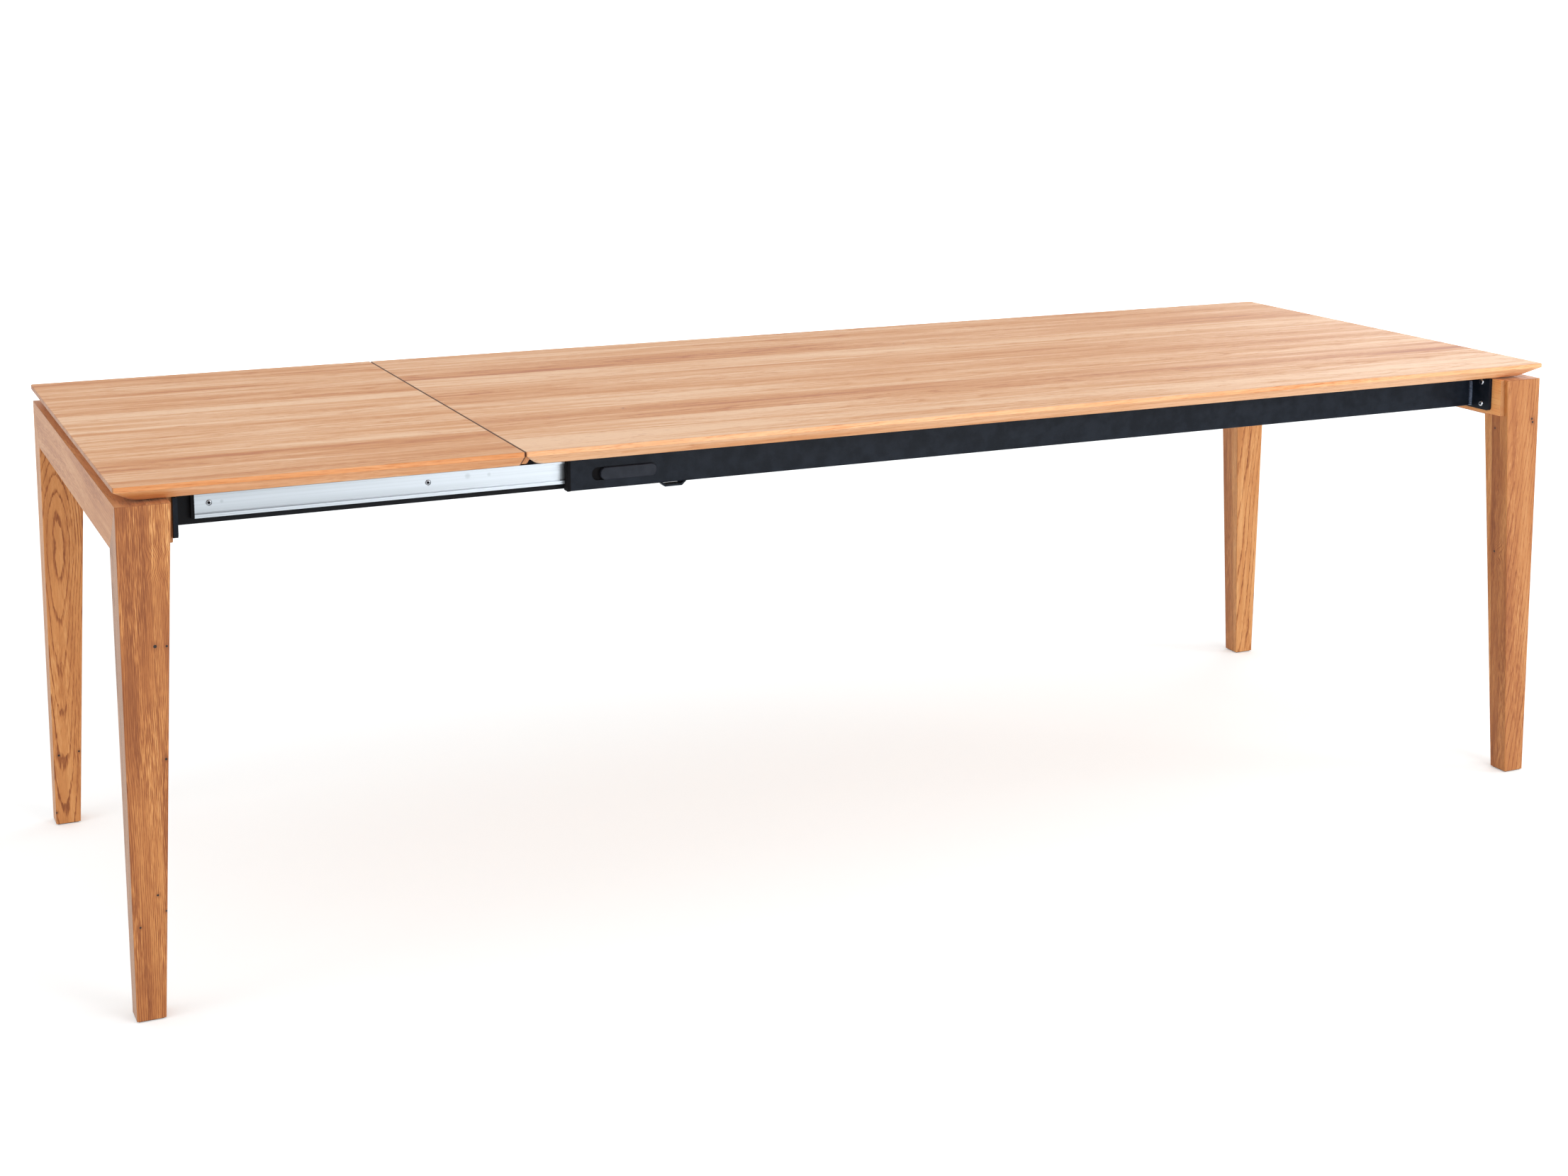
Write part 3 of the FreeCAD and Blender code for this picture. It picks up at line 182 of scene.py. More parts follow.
# where a pattern starts to count, where it counts fully, and its share at either end
PATCHY = {"start": 0.35, "end": 0.62, "at_start": 0.35, "at_end": 1.0}
FLECKED = {"start": 0.42, "end": 0.62, "at_start": 0.25, "at_end": 1.0}
BROKEN = {"start": 0.40, "end": 0.60, "at_start": 1.0, "at_end": 0.35}
OPENED = {"start": 0.55, "end": 0.66}


def early_wood(group, given, pattern):
    """1 in the early part of a ring, which is dark and full of pores, and 0 in the rest of it."""
    swayed = calc(group, "MULTIPLY_ADD", pattern("sway"), SWAY, -SWAY / 2)
    across = calc(group, "ADD", given["Across"], swayed)
    radius = calc(group, "SQRT", calc(group, "ADD", calc(group, "POWER", across, 2.0),
                                      calc(group, "POWER", given["Depth"], 2.0)))
    turns = calc(group, "DIVIDE", calc(group, "ADD", radius, given["Bend"]), given["Ring Width"])
    for name, amount in (("ripple", RIPPLED), ("jitter", JITTERED)):
        turns = calc(group, "MULTIPLY_ADD", pattern(name), amount, turns)
    turn = calc(group, "FRACT", turns)
    return calc(group, "MULTIPLY", fade(group, turn, 0.0, DARKEST),
                fade(group, turn, DARKEST, EARLY_END, 1.0, 0.0))


def grain_tone(group, given, pattern, early):
    """How pale the wood is: bands, streaks and flecks about a middle, less the broken ring lines."""
    patches = fade(group, pattern("patches"), **PATCHY)
    flecked = fade(group, pattern("flecked"), **FLECKED)
    flecks = pattern("flecks")
    broken = fade(group, flecks, **BROKEN)
    flecks = calc(group, "MULTIPLY_ADD", calc(group, "SUBTRACT", flecks, 0.5), flecked, 0.5)
    tone = MIDDLE_TONE
    for value, strength in ((pattern("bands"), "Bands"), (pattern("streaks"), "Streaks"), (flecks, "Flecks")):
        tone = calc(group, "MULTIPLY_ADD", calc(group, "SUBTRACT", value, 0.5), given[strength], tone)
    lines = calc(group, "MULTIPLY", early, calc(group, "MULTIPLY", patches, broken))
    return calc(group, "SUBTRACT", tone, calc(group, "MULTIPLY", given["Rings"], lines))


def make_grain_group():
    group = bpy.data.node_groups.new("oak_grain", "ShaderNodeTree")
    for name in GRAIN_INPUTS:
        group.interface.new_socket(name=name, in_out="INPUT", socket_type="NodeSocketFloat")
    for name in ("Tone", "Pores"):
        group.interface.new_socket(name=name, in_out="OUTPUT", socket_type="NodeSocketFloat")
    given = group.nodes.new("NodeGroupInput").outputs
    result = group.nodes.new("NodeGroupOutput").inputs
    shifted = calc(group, "MULTIPLY_ADD", given["Board"], BOARD_SHIFT, given["Along"])

    def pattern(name):
        along, across, detail, roughness = PATTERNS[name]
        parts = [calc(group, "MULTIPLY", shifted, along),
                 calc(group, "MULTIPLY", given["Across"], across),
                 calc(group, "MULTIPLY", given["Depth"], across)]
        point = node(group, "CombineXYZ", dict(zip("XYZ", parts))).outputs[0]
        return noise(group, point, detail=detail, roughness=roughness)

    early = early_wood(group, given, pattern)
    feed(group, grain_tone(group, given, pattern, early), result["Tone"])
    pores = calc(group, "MULTIPLY", fade(group, pattern("dashes"), **OPENED),
                 calc(group, "MULTIPLY_ADD", early, 1 - OPEN_PORES, OPEN_PORES))
    feed(group, pores, result["Pores"])
    return group


GRAIN = make_grain_group()
print("oak: grain group with", len(GRAIN.nodes), "nodes")

# %% [markdown]
# ## Boards
# Tops and legs are glued up from narrow boards.  A one-dimensional cell texture cuts the piece into
# boards and gives each one three chances, random numbers that pick its shade and its place in the
# tree.  Everything but the tops is cut from a known tree instead: there the middle of the tree is
# given, so an oval or a cathedral of the rings comes where it should.

# %% Cutting a piece into boards
TREE_LOW, TREE_SPREAD = 0.78, 0.06    # height of the middle of a board's tree, and chance's share
CROWN_SPREAD = 3.0                    # the place where the tree comes nearest lies in this length
CROWN_ROUND = 0.003                   # keeps that place round, where it would come to a point


def cut_into_boards(tree, measured, board, number, start, uneven):
    """The boards are counted from `number`.  What comes back is the count at a point, the count in
    the middle of its board, the board's chances and the distance to the board's edge."""
    counted = calc(tree, "MULTIPLY_ADD", measured, 1 / board, number + 0.5 - start / board)
    cell, edge = (node(tree, "TexVoronoi", {"W": counted, "Scale": 1.0, "Randomness": uneven},
                       voronoi_dimensions="1D", feature=feature).outputs
                  for feature in ("F1", "DISTANCE_TO_EDGE"))
    chances = node(tree, "SeparateColor", {"Color": cell["Color"]}).outputs
    return counted, cell["W"], chances, calc(tree, "MULTIPLY", edge["Distance"], board)


def from_known_tree(tree, axes, along, pith, crown_at):
    """A point's place from the pith, across and deep, and how far it is from the crown, along."""
    side, face = [axis for axis in "XYZ" if axis != along]
    return (calc(tree, "SUBTRACT", axes[side], pith[0]),
            calc(tree, "ABSOLUTE", calc(tree, "SUBTRACT", axes[face], pith[1])),
            calc(tree, "SUBTRACT", axes[along], crown_at))


def from_own_tree(tree, axes, along, board, counted, middle, chances):
    """The same three, where chance picks each board's tree."""
    face = [axis for axis in "XYZ" if axis != along][1]
    off_middle = calc(tree, "ADD", calc(tree, "SUBTRACT", counted, middle),
                      calc(tree, "SUBTRACT", chances["Blue"], 0.5))
    heart = calc(tree, "MULTIPLY_ADD", chances["Red"], TREE_SPREAD, TREE_LOW)
    moved = calc(tree, "MULTIPLY_ADD", chances["Green"], CROWN_SPREAD, -CROWN_SPREAD / 2)
    return (calc(tree, "MULTIPLY", off_middle, board),
            calc(tree, "SUBTRACT", heart, axes[face]),
            calc(tree, "ADD", axes[along], moved))


print("boards: cut by count, with known trees or with their own")

# %% [markdown]
# ## Marks on the wood
# Glue lines and the mitre of an end frame are thin dark lines, and so is the painted shade beside the
# joint of the top, where the gap is in shade: each is a fade of the distance to a plane.  A knot is a
# dark spot in a brown halo, and the rings swirl round it.
# Faces that cut the boards across show end grain, which drinks more oil and is darker.  The surface
# normal tells where those faces are, and where the upright edge of a top is.

# %% Lines, knots and end grain
KNOT = (0.014, 0.007, 0.005, 1)
END_GRAIN = (0.22, 0.085, 0.032, 1)
JOINT_SHADE = (0.085, 0.028, 0.010, 1)
GLUE_LINE = {"start": 0.1 * MM, "end": 0.6 * MM, "at_start": 0.4, "at_end": 0.0}
MITRE_LINE = {"start": 0.2 * MM, "end": 1.0 * MM, "at_start": 0.7, "at_end": 0.0}
JOINT_SHADE_LINE = {"start": 1.3 * MM, "end": 2.4 * MM, "at_start": 0.9, "at_end": 0.0}
EDGE_ON = {"start": 0.75, "end": 0.95, "at_start": 1.0, "at_end": 0.0}
ACROSS_BOARDS = {"start": 0.5, "end": 0.9}
END_GRAIN_SHARE = 0.7
HALO_SHARE, HALO_SIZE = 0.5, 4.5          # its strength, and its size in knots
KNOT_INSIDE, KNOT_OUTSIDE = 0.8, 1.2      # where a knot's rim starts and ends, in knots


def distance(tree, place, centre):
    made = node(tree, "VectorMath", operation="DISTANCE")
    feed(tree, place, made.inputs[0])
    made.inputs[1].default_value = centre
    return made.outputs["Value"]


def off_plane(tree, coordinate, level):
    return calc(tree, "ABSOLUTE", calc(tree, "SUBTRACT", coordinate, level))


def off_mitre(tree, axes, corner_y, corner_z, slope):
    """How far below or above the sloping plane of a mitre a point is."""
    away = calc(tree, "SUBTRACT", calc(tree, "ABSOLUTE", axes["Y"]), corner_y)
    return calc(tree, "ABSOLUTE", calc(tree, "MULTIPLY_ADD", away, -slope,
                                       calc(tree, "SUBTRACT", axes["Z"], corner_z)))


def bend_round(tree, place, swirls):
    """How far the rings are pushed out round each knot in the wood."""
    pushed = 0.0
    for centre, size, amount in swirls:
        pushed = calc(tree, "ADD", pushed, fade(tree, distance(tree, place, centre), 0.0, size, amount, 0.0))
    return pushed


def draw_lines(tree, colour, axes, to_edge, dark, seam, joint):
    colour = mix_colour(tree, fade(tree, to_edge, **GLUE_LINE), colour, dark)
    if seam:
        colour = mix_colour(tree, fade(tree, off_mitre(tree, axes, *seam), **MITRE_LINE), colour, dark)
    if joint is not None:
        # painted shade: the wood beside the joint of the top is darkened, where the gap between leaf and
        # fixed top is in shade
        beside = off_plane(tree, axes["X"], joint)
        colour = mix_colour(tree, fade(tree, beside, **JOINT_SHADE_LINE), colour, JOINT_SHADE)
    return colour


def shade_edges(tree, colour, along, rim):
    """Tints the upright edge of a top with `rim`, and darkens the end grain."""
    facing = node(tree, "SeparateXYZ", {"Vector": node(tree, "TexCoord").outputs["Normal"]}).outputs
    if rim:
        edge_on = fade(tree, calc(tree, "ABSOLUTE", facing["Z"]), **EDGE_ON)
        colour = mix_colour(tree, edge_on, colour, rim, "MULTIPLY")
    end_grain = fade(tree, calc(tree, "ABSOLUTE", facing[along]), **ACROSS_BOARDS)
    return mix_colour(tree, calc(tree, "MULTIPLY", end_grain, END_GRAIN_SHARE), colour, END_GRAIN)


def set_knots(tree, colour, place, dark, knots):
    for centre, size in knots:
        gap = distance(tree, place, centre)
        colour = mix_colour(tree, fade(tree, gap, size, HALO_SIZE * size, HALO_SHARE, 0.0), colour, dark)
        rim = fade(tree, gap, KNOT_INSIDE * size, KNOT_OUTSIDE * size, 1.0, 0.0)
        colour = mix_colour(tree, rim, colour, KNOT)
    return colour


print("marks: lines, end grain, knots")

# %% [markdown]
# ## The finish of an oak piece
# The grain's tone picks a colour between four, from dark to pale.  The oiled surface is a little
# rougher where the wood is dark, and its pores are fine dents.  A soft sheen stands for the haze of
# oiled wood that is seen at a flat angle.

# %% Oak pieces glued from boards
PALE_FROM, PALER_FROM = 0.33, 0.64    # where the second and third colour of a palette stand
PORE_SHARE = 0.6
ROUGHEST, SMOOTHER = 0.58, 0.10
GRAIN_DEPTH, GRAIN_STRENGTH, TONE_HEIGHT = 0.25 * MM, 0.5, 0.4
SHEEN_ROUGHNESS, SHEEN_TINT = 0.3, (1.0, 0.92, 0.78, 1)


def oak_colour(tree, tone, pores, palette):
    ramp = node(tree, "ValToRGB", {"Fac": tone})
    stops = ramp.color_ramp.elements
    stops[0].position, stops[0].color = 0.0, palette[0]
    stops[1].position, stops[1].color = 1.0, palette[3]
    stops.new(PALE_FROM).color = palette[1]
    stops.new(PALER_FROM).color = palette[2]
    return mix_colour(tree, calc(tree, "MULTIPLY", pores, PORE_SHARE), ramp.outputs["Color"], palette[0])


def oil(tree, shader, tone, pores, gloss, sheen):
    feed(tree, calc(tree, "MULTIPLY_ADD", tone, -SMOOTHER, ROUGHEST), shader.inputs["Roughness"])
    height = calc(tree, "SUBTRACT", calc(tree, "MULTIPLY", tone, TONE_HEIGHT), pores)
    feed(tree, bump(tree, height, GRAIN_DEPTH, GRAIN_STRENGTH), shader.inputs["Normal"])
    shader.inputs["Specular IOR Level"].default_value = gloss
    shader.inputs["Sheen Weight"].default_value = sheen
    shader.inputs["Sheen Roughness"].default_value = SHEEN_ROUGHNESS
    shader.inputs["Sheen Tint"].default_value = SHEEN_TINT


def glued_oak(name, along, layers, board, palette, number=0, start=0.0, mirrored=False, uneven=0.0,
              pith=None, crown=(0.0, 0.035), ring=4.5 * MM, rings=0.30, bands=1.15, streaks=0.9,
              flecks=1.3, tint=0.55, shade=0.06, gloss=0.42, sheen=0.17, swirls=(), knots=(),
              seam=None, joint=None, rim=None):
    """Boards lie along one axis and are counted on another.  Where `pith` is given, all of them come
    from one tree, whose middle is at that place on the two other axes; without it each board has its
    own tree.  `crown` is where along the piece the tree comes nearest, and how fast it leaves."""
    material, tree, shader, place = new_material(name)
    axes = node(tree, "SeparateXYZ", {"Vector": place}).outputs
    measured = calc(tree, "ABSOLUTE", axes[layers]) if mirrored else axes[layers]
    counted, middle, chances, to_edge = cut_into_boards(tree, measured, board, number, start, uneven)
    if pith:
        across, depth, past_crown = from_known_tree(tree, axes, along, pith, crown[0])
    else:
        across, depth, past_crown = from_own_tree(tree, axes, along, board, counted, middle, chances)
    leaving = calc(tree, "SQRT", calc(tree, "MULTIPLY_ADD", past_crown, past_crown, CROWN_ROUND))

    grain = node(tree, "Group", node_tree=GRAIN)
    given = (axes[along], across, calc(tree, "MULTIPLY_ADD", leaving, crown[1], depth),
             calc(tree, "ADD", chances["Red"], float(number)), bend_round(tree, place, swirls), ring,
             rings, bands, streaks, flecks)
    for label, value in zip(GRAIN_INPUTS, given):
        feed(tree, value, grain.inputs[label])
    tone, pores = grain.outputs["Tone"], grain.outputs["Pores"]
    shaded = calc(tree, "ADD", tone, calc(tree, "MULTIPLY_ADD", chances["Green"], tint, shade - tint / 2))

    dark = palette[0]
    colour = oak_colour(tree, shaded, pores, palette)
    colour = draw_lines(tree, colour, axes, to_edge, dark, seam, joint)
    colour = shade_edges(tree, colour, along, rim)
    feed(tree, set_knots(tree, colour, place, dark, knots), shader.inputs["Base Color"])
    oil(tree, shader, tone, pores, gloss, sheen)
    return material


def dress(material, *names):
    """Puts a finish on CAD nodes."""
    for name in names:
        for slot in NODES[name].material_slots:
            slot.material = material


print("oak: finish ready")

# %% [markdown]
# ## Tops
# Leaf and fixed top are glued from the same wide boards, no two of one width.  Both have painted shade,
# a dark line on either side of the joint between them where the gap is in shade, and a warmer tint on
# the upright edge.  A narrow lipping closes the bevel of the joint; its oak is darkened, painted shade
# where it lies in the shade of the joint.

# %% Oak for the tops
TOP_OAK = ((0.42, 0.105, 0.016, 1), (0.59, 0.228, 0.055, 1),
           (0.70, 0.345, 0.145, 1), (0.83, 0.515, 0.30, 1))
# a warmer, darker tint for the faces of a top that stand upright
UPRIGHT_EDGE_TINT = (1.0, 0.85, 0.71, 1)
TOP_BOARD, TOP_UNEVEN = 98 * MM, 0.7
JOINT = (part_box("leaf")[1][0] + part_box("main_top")[0][0]) / 2
MAIN_KNOTS = (((-0.413, -0.177, 0.760), 1.6 * MM), ((0.30, 0.24, 0.760), 1.4 * MM))
dress(glued_oak("oak_leaf", "X", "Y", TOP_BOARD, TOP_OAK, number=3, uneven=TOP_UNEVEN, bands=1.5,
                streaks=1.1, gloss=0.52, sheen=0.06, joint=JOINT, rim=UPRIGHT_EDGE_TINT), "leaf")
dress(glued_oak("oak_main", "X", "Y", TOP_BOARD, TOP_OAK, number=20, uneven=TOP_UNEVEN, bands=1.25,
                streaks=1.0, gloss=0.60, sheen=0.08, joint=JOINT, rim=UPRIGHT_EDGE_TINT, knots=MAIN_KNOTS),
      "main_top")
# the lipping is darkened (shade=-0.25): painted shade, where it lies in the shade of the joint
dress(glued_oak("oak_lipping", "Y", "Z", TOP_BOARD, TOP_OAK, number=40, start=0.70,
                pith=(-0.66, 0.70), shade=-0.25), "joint_lipping")
print("oak: leaf, fixed top and lipping")

# %% [markdown]
# ## End frames
# The legs are laminated: their fronts show the flat of one board and their sides the edges of two or
# three.  The near left leg is turned the other way, with its boards side by side.  The grain stands
# upright in a leg and lies along Y in the rail and batten, so the mitre shows as a change of grain
# and a fine line.  Every leg is its own piece of wood: one is full of short flecks, one has an oval
# where the tree grazes the face, and each has a pin knot or a few.  The battens are paler oak.

# %% Oak for the legs
LEG_OAK = ((0.24, 0.066, 0.014, 1), (0.41, 0.138, 0.034, 1),
           (0.59, 0.245, 0.072, 1), (0.76, 0.39, 0.150, 1))
LEG_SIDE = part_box("left_rear_leg")[1][1]
RAIL_LOW, RAIL_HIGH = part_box("left_end_rail")[0][2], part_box("left_end_rail")[1][2]
MITRE_DEPTH = 62 * MM
MITRE = (LEG_SIDE, RAIL_HIGH, (RAIL_HIGH - RAIL_LOW) / MITRE_DEPTH)
THIRD_LEG, HALF_LEG = MITRE_DEPTH / 3, MITRE_DEPTH / 2


def leg_oak(leg, number, layers="Y", board=THIRD_LEG, start=LEG_SIDE, **wood):
    finish = glued_oak("oak_" + leg, "Z", layers, board, LEG_OAK, number=number, start=start,
                       mirrored=layers == "Y", seam=MITRE, **wood)
    dress(finish, leg)


leg_oak("left_front_leg", 62, layers="X", board=44 * MM, start=-1.2363, pith=(-1.05, -0.40),
        crown=(0.62, 0.03), ring=2.6 * MM, rings=1.0, bands=0.8, streaks=1.1, flecks=2.0, tint=0.14,
        shade=-0.20, sheen=0.60, swirls=(((-1.178, -0.447, 0.650), 0.034, 0.009),),
        knots=(((-1.1909, -0.447, 0.5349), 2.4 * MM), ((-1.1755, -0.447, 0.5336), 1.6 * MM),
               ((-1.1824, -0.447, 0.3742), 1.8 * MM), ((-1.2011, -0.447, 0.1811), 1.6 * MM),
               ((-1.1906, -0.447, 0.1566), 1.3 * MM), ((-1.2263, -0.447, 0.1382), 1.5 * MM)))
leg_oak("left_rear_leg", 70, board=HALF_LEG, start=LEG_SIDE + HALF_LEG, pith=(-1.2157, 0.423),
        crown=(0.527, 0.070), ring=2.8 * MM, rings=1.2, bands=0.6, streaks=0.8, flecks=1.2,
        tint=0.16, shade=0.04, sheen=0.35,
        knots=(((-1.2274, 0.4029, 0.1246), 1.9 * MM), ((-1.1945, 0.4028, 0.1275), 1.6 * MM),
               ((-1.2350, 0.4065, 0.0225), 1.5 * MM)))
leg_oak("right_front_leg", 80, pith=(1.15, -0.36), crown=(0.95, 0.06), ring=3.6 * MM, rings=0.75,
        bands=1.0, streaks=1.0, flecks=1.6, tint=0.50, shade=0.04,
        swirls=(((1.1768, -0.414, 0.412), 0.030, 0.016),),
        knots=(((1.2215, -0.447, 0.6592), 2.3 * MM), ((1.2235, -0.447, 0.6532), 2.0 * MM),
               ((1.1665, -0.4136, 0.641), 1.6 * MM), ((1.1768, -0.4139, 0.412), 2.0 * MM)))
leg_oak("right_rear_leg", 90, board=HALF_LEG, start=LEG_SIDE + HALF_LEG, pith=(1.16, 0.52),
        crown=(0.98, 0.06), ring=3.8 * MM, rings=0.75, bands=1.0, streaks=1.0, flecks=1.4,
        tint=0.20, shade=-0.04, knots=(((1.198, 0.388, 0.627), 1.8 * MM),))
print("oak: four legs")

# %% [markdown]
# Rail and batten of an end are cut from trees that stand outside the table, so their ring lines run
# nearly straight along them.

# %% Oak for the rails and battens
PALE_OAK = ((0.58, 0.17, 0.042, 1), (0.80, 0.285, 0.082, 1),
            (0.90, 0.39, 0.125, 1), (0.96, 0.49, 0.18, 1))
BATTEN_BOARD = 0.1                    # higher than a batten, which is one board
BATTEN_START = 0.65
for number, end, outside in ((110, "left", -1.236), (150, "right", 1.236)):
    dress(glued_oak("oak_%s_rail" % end, "Y", "X", THIRD_LEG, LEG_OAK, number=number, start=outside,
                    pith=(0.97 * outside, 0.64), crown=(0.1, 0.04), rings=0.22, tint=0.2, shade=0.10,
                    seam=MITRE), end + "_end_rail")
    dress(glued_oak("oak_%s_batten" % end, "Y", "Z", BATTEN_BOARD, PALE_OAK, number=number + 10,
                    start=BATTEN_START, pith=(outside, 0.62), crown=(0.2, 0.04), rings=0.18, bands=0.8,
                    shade=0.1), end + "_batten")
print("oak: rails and battens")

# %% [markdown]
# ## Metal, plastic and rubber
# Powder coat is a matt paint with a fine pebbled skin, and the moulded parts have a finer one.  The
# inner beams are darker and flatter than the outer ones.  Drawn aluminium has hair lines along the
# bar, broad soft darker bands along it that are painted reflection, and a scuff or two.  Zinc is a
# soft mirror, with the same painted reflection in blotches.

# %% Hard finishes
CLOUD_DETAIL, CLOUD_ROUGHNESS, CLOUD_FROM, CLOUD_TO = 3.0, 0.6, 0.3, 0.7
SHINE_CLOUDS, SHINE_FROM, SHINE_TO, UNEVEN_SHINE = 4, 0.2, 0.8, 0.05
HAIR_DETAIL, HAIR_ROUGHNESS, HAIR_SHINE, HAIR_DEPTH = 3.0, 0.6, 0.06, 0.02 * MM
# painted reflection: broad darker bands along the bar; and how dark they and the hair lines go
REFLECTION_SCALE, REFLECTION_FROM, REFLECTION_TO = 0.16, 0.36, 0.64
HAIR_AND_REFLECTION_DARK, HAIR_SHARE, REFLECTION_SHARE = 0.80, 0.3, 0.7
SCUFF, SCUFF_SHARE, SCUFF_CORE = (0.16, 0.17, 0.19, 1), 0.28, 0.2


def pebbled(name, colour, second, roughness, pebble, depth, cloud=6.0, gloss=0.16):
    """Paint or moulding: two near colours in clouds, over a fine pebbled skin."""
    material, tree, shader, place = new_material(name)
    clouds = fade(tree, noise(tree, place, cloud, CLOUD_DETAIL, CLOUD_ROUGHNESS), CLOUD_FROM, CLOUD_TO)
    feed(tree, mix_colour(tree, clouds, colour, second), shader.inputs["Base Color"])
    shine = noise(tree, place, cloud * SHINE_CLOUDS)
    feed(tree, fade(tree, shine, SHINE_FROM, SHINE_TO, roughness - UNEVEN_SHINE, roughness + UNEVEN_SHINE),
         shader.inputs["Roughness"])
    feed(tree, bump(tree, noise(tree, place, 1 / pebble), depth), shader.inputs["Normal"])
    shader.inputs["Specular IOR Level"].default_value = gloss
    return material


def drawn_metal(name, colour, roughness, stretch, scuffs=()):
    """Metal with fine hair, darker in broad soft patches that are painted reflection, and a few dull
    scuffs.  `stretch` is the waves in a metre along each axis: few along X and many on the others draw
    the hair into lines."""
    material, tree, shader, place = new_material(name)
    pulled = node(tree, "Mapping", {"Vector": place, "Scale": stretch}).outputs[0]
    hair = noise(tree, pulled, 1.0, HAIR_DETAIL, HAIR_ROUGHNESS)
    # painted reflection: broad soft darker bands along the bar, standing for what a drawn bar reflects
    painted_reflection = fade(tree, noise(tree, pulled, REFLECTION_SCALE), REFLECTION_FROM, REFLECTION_TO)
    dark = tuple(HAIR_AND_REFLECTION_DARK * part for part in colour[:3]) + (1,)
    hair_and_reflection = calc(tree, "MULTIPLY_ADD", painted_reflection, REFLECTION_SHARE, calc(tree, "MULTIPLY", hair, HAIR_SHARE))
    hair_reflection_and_scuffs = mix_colour(tree, hair_and_reflection, colour, dark)
    for centre, size in scuffs:
        scuffed = fade(tree, distance(tree, place, centre), SCUFF_CORE * size, size, SCUFF_SHARE, 0.0)
        hair_reflection_and_scuffs = mix_colour(tree, scuffed, hair_reflection_and_scuffs, SCUFF)
    feed(tree, hair_reflection_and_scuffs, shader.inputs["Base Color"])
    feed(tree, fade(tree, hair, CLOUD_FROM, CLOUD_TO, roughness - HAIR_SHINE, roughness + HAIR_SHINE),
         shader.inputs["Roughness"])
    feed(tree, bump(tree, hair, HAIR_DEPTH), shader.inputs["Normal"])
    shader.inputs["Metallic"].default_value = 1.0
    return material


INNER_STEEL = pebbled("inner_beam_coat", (0.005, 0.005, 0.006, 1), (0.009, 0.010, 0.013, 1),
                      roughness=0.45, pebble=1.1 * MM, depth=0.06 * MM, gloss=0.08)
BLACK_STEEL = pebbled("black_powder_coat", (0.0045, 0.007, 0.012, 1), (0.010, 0.014, 0.022, 1),
                      roughness=0.40, pebble=2.0 * MM, depth=0.10 * MM, cloud=40.0, gloss=0.10)
PLASTIC = pebbled("black_moulding", (0.010, 0.013, 0.021, 1), (0.017, 0.021, 0.031, 1),
                  roughness=0.46, pebble=0.5 * MM, depth=0.03 * MM, cloud=60.0)
# near-black and dull: painted shade on the latch slider seen in the slot behind the knob, on the shaded end
# faces of the mouth guides and in the screw recesses; the slide end blocks are dull black plastic
BLACK_AND_SHADE = pebbled("dull_black_and_shade", (0.004, 0.004, 0.005, 1), (0.007, 0.007, 0.009, 1),
                     roughness=0.7, pebble=0.8 * MM, depth=0.03 * MM, gloss=0.08)
RUBBER = pebbled("black_rubber", (0.03, 0.03, 0.03, 1), (0.045, 0.044, 0.042, 1),
                 roughness=0.8, pebble=0.8 * MM, depth=0.04 * MM)
FELT = pebbled("brown_felt", (0.10, 0.075, 0.06, 1), (0.16, 0.13, 0.11, 1),
               roughness=0.95, pebble=0.6 * MM, depth=0.2 * MM, cloud=400.0)
WELD = pebbled("painted_weld", (0.045, 0.075, 0.13, 1), (0.12, 0.17, 0.26, 1),
               roughness=0.24, pebble=1.2 * MM, depth=0.1 * MM, cloud=400.0, gloss=0.9)
ALUMINIUM = drawn_metal("drawn_aluminium", (0.50, 0.54, 0.58, 1), roughness=0.34,
                        stretch=(5.0, 900.0, 900.0),
                        scuffs=(((-1.0766, -0.348, 0.7065), 3.5 * MM),
                                ((-0.7197, -0.348, 0.7105), 6 * MM), ((-0.6870, -0.348, 0.7100), 4 * MM)))
ZINC = drawn_metal("bright_zinc", (0.72, 0.76, 0.82, 1), roughness=0.24, stretch=(400.0, 400.0, 400.0))
STEEL = drawn_metal("plain_steel", (0.36, 0.38, 0.41, 1), roughness=0.30, stretch=(300.0, 300.0, 300.0))
print("hard finishes: six coats and mouldings, painted weld, three metals")

# %% [markdown]
# Each finish now goes on the nodes that are made of it.  The end frames and tops already have theirs,
# and the screws and welds get it with their detailed pieces below.

# %% Hard finishes on their nodes
BOTH_SIDES = {
    "inner_beam": INNER_STEEL,
    "outer_beam": BLACK_STEEL,
    "keeper_strap": BLACK_STEEL,
    # painted shade: the latch slider in the slot behind the knob and the mouth guides' end faces are
    # near-black
    "latch_slider": BLACK_AND_SHADE,
    "mouth_guide": BLACK_AND_SHADE,
    "latch_knob": PLASTIC,
    "glide_blocks": PLASTIC,
    "brake_shoe": RUBBER,
    "slide_rail": ALUMINIUM,
}
for part, finish in BOTH_SIDES.items():
    dress(finish, "front_" + part, "rear_" + part)
BOTH_ENDS = {
    "front_flange": BLACK_STEEL,
    "rear_flange": BLACK_STEEL,
    "rail_pads": RUBBER,
    "floor_glides": FELT,
}
for part, finish in BOTH_ENDS.items():
    dress(finish, "left_" + part, "right_" + part)
dress(INNER_STEEL, "inner_cross_ties")
dress(BLACK_STEEL, "cross_rails", "locating_plates")
dress(BLACK_AND_SHADE, "slide_end_blocks")
dress(PLASTIC, "slide_stops", "inner_beam_caps", "top_spacers", "leaf_bearers")
print("dressed: %d pairs and 8 single nodes" % (len(BOTH_SIDES) + len(BOTH_ENDS)))

# %% [markdown]
# ## Screws
# A screw is a turned part, so its outline is drawn once and spun round.  The spin leaves a round hole
# in the head; moving the points of that hole in and out makes it a hexagon or a cross.  The faces in
# the hole are black, painted shade, as the bottom of a small recess always looks.

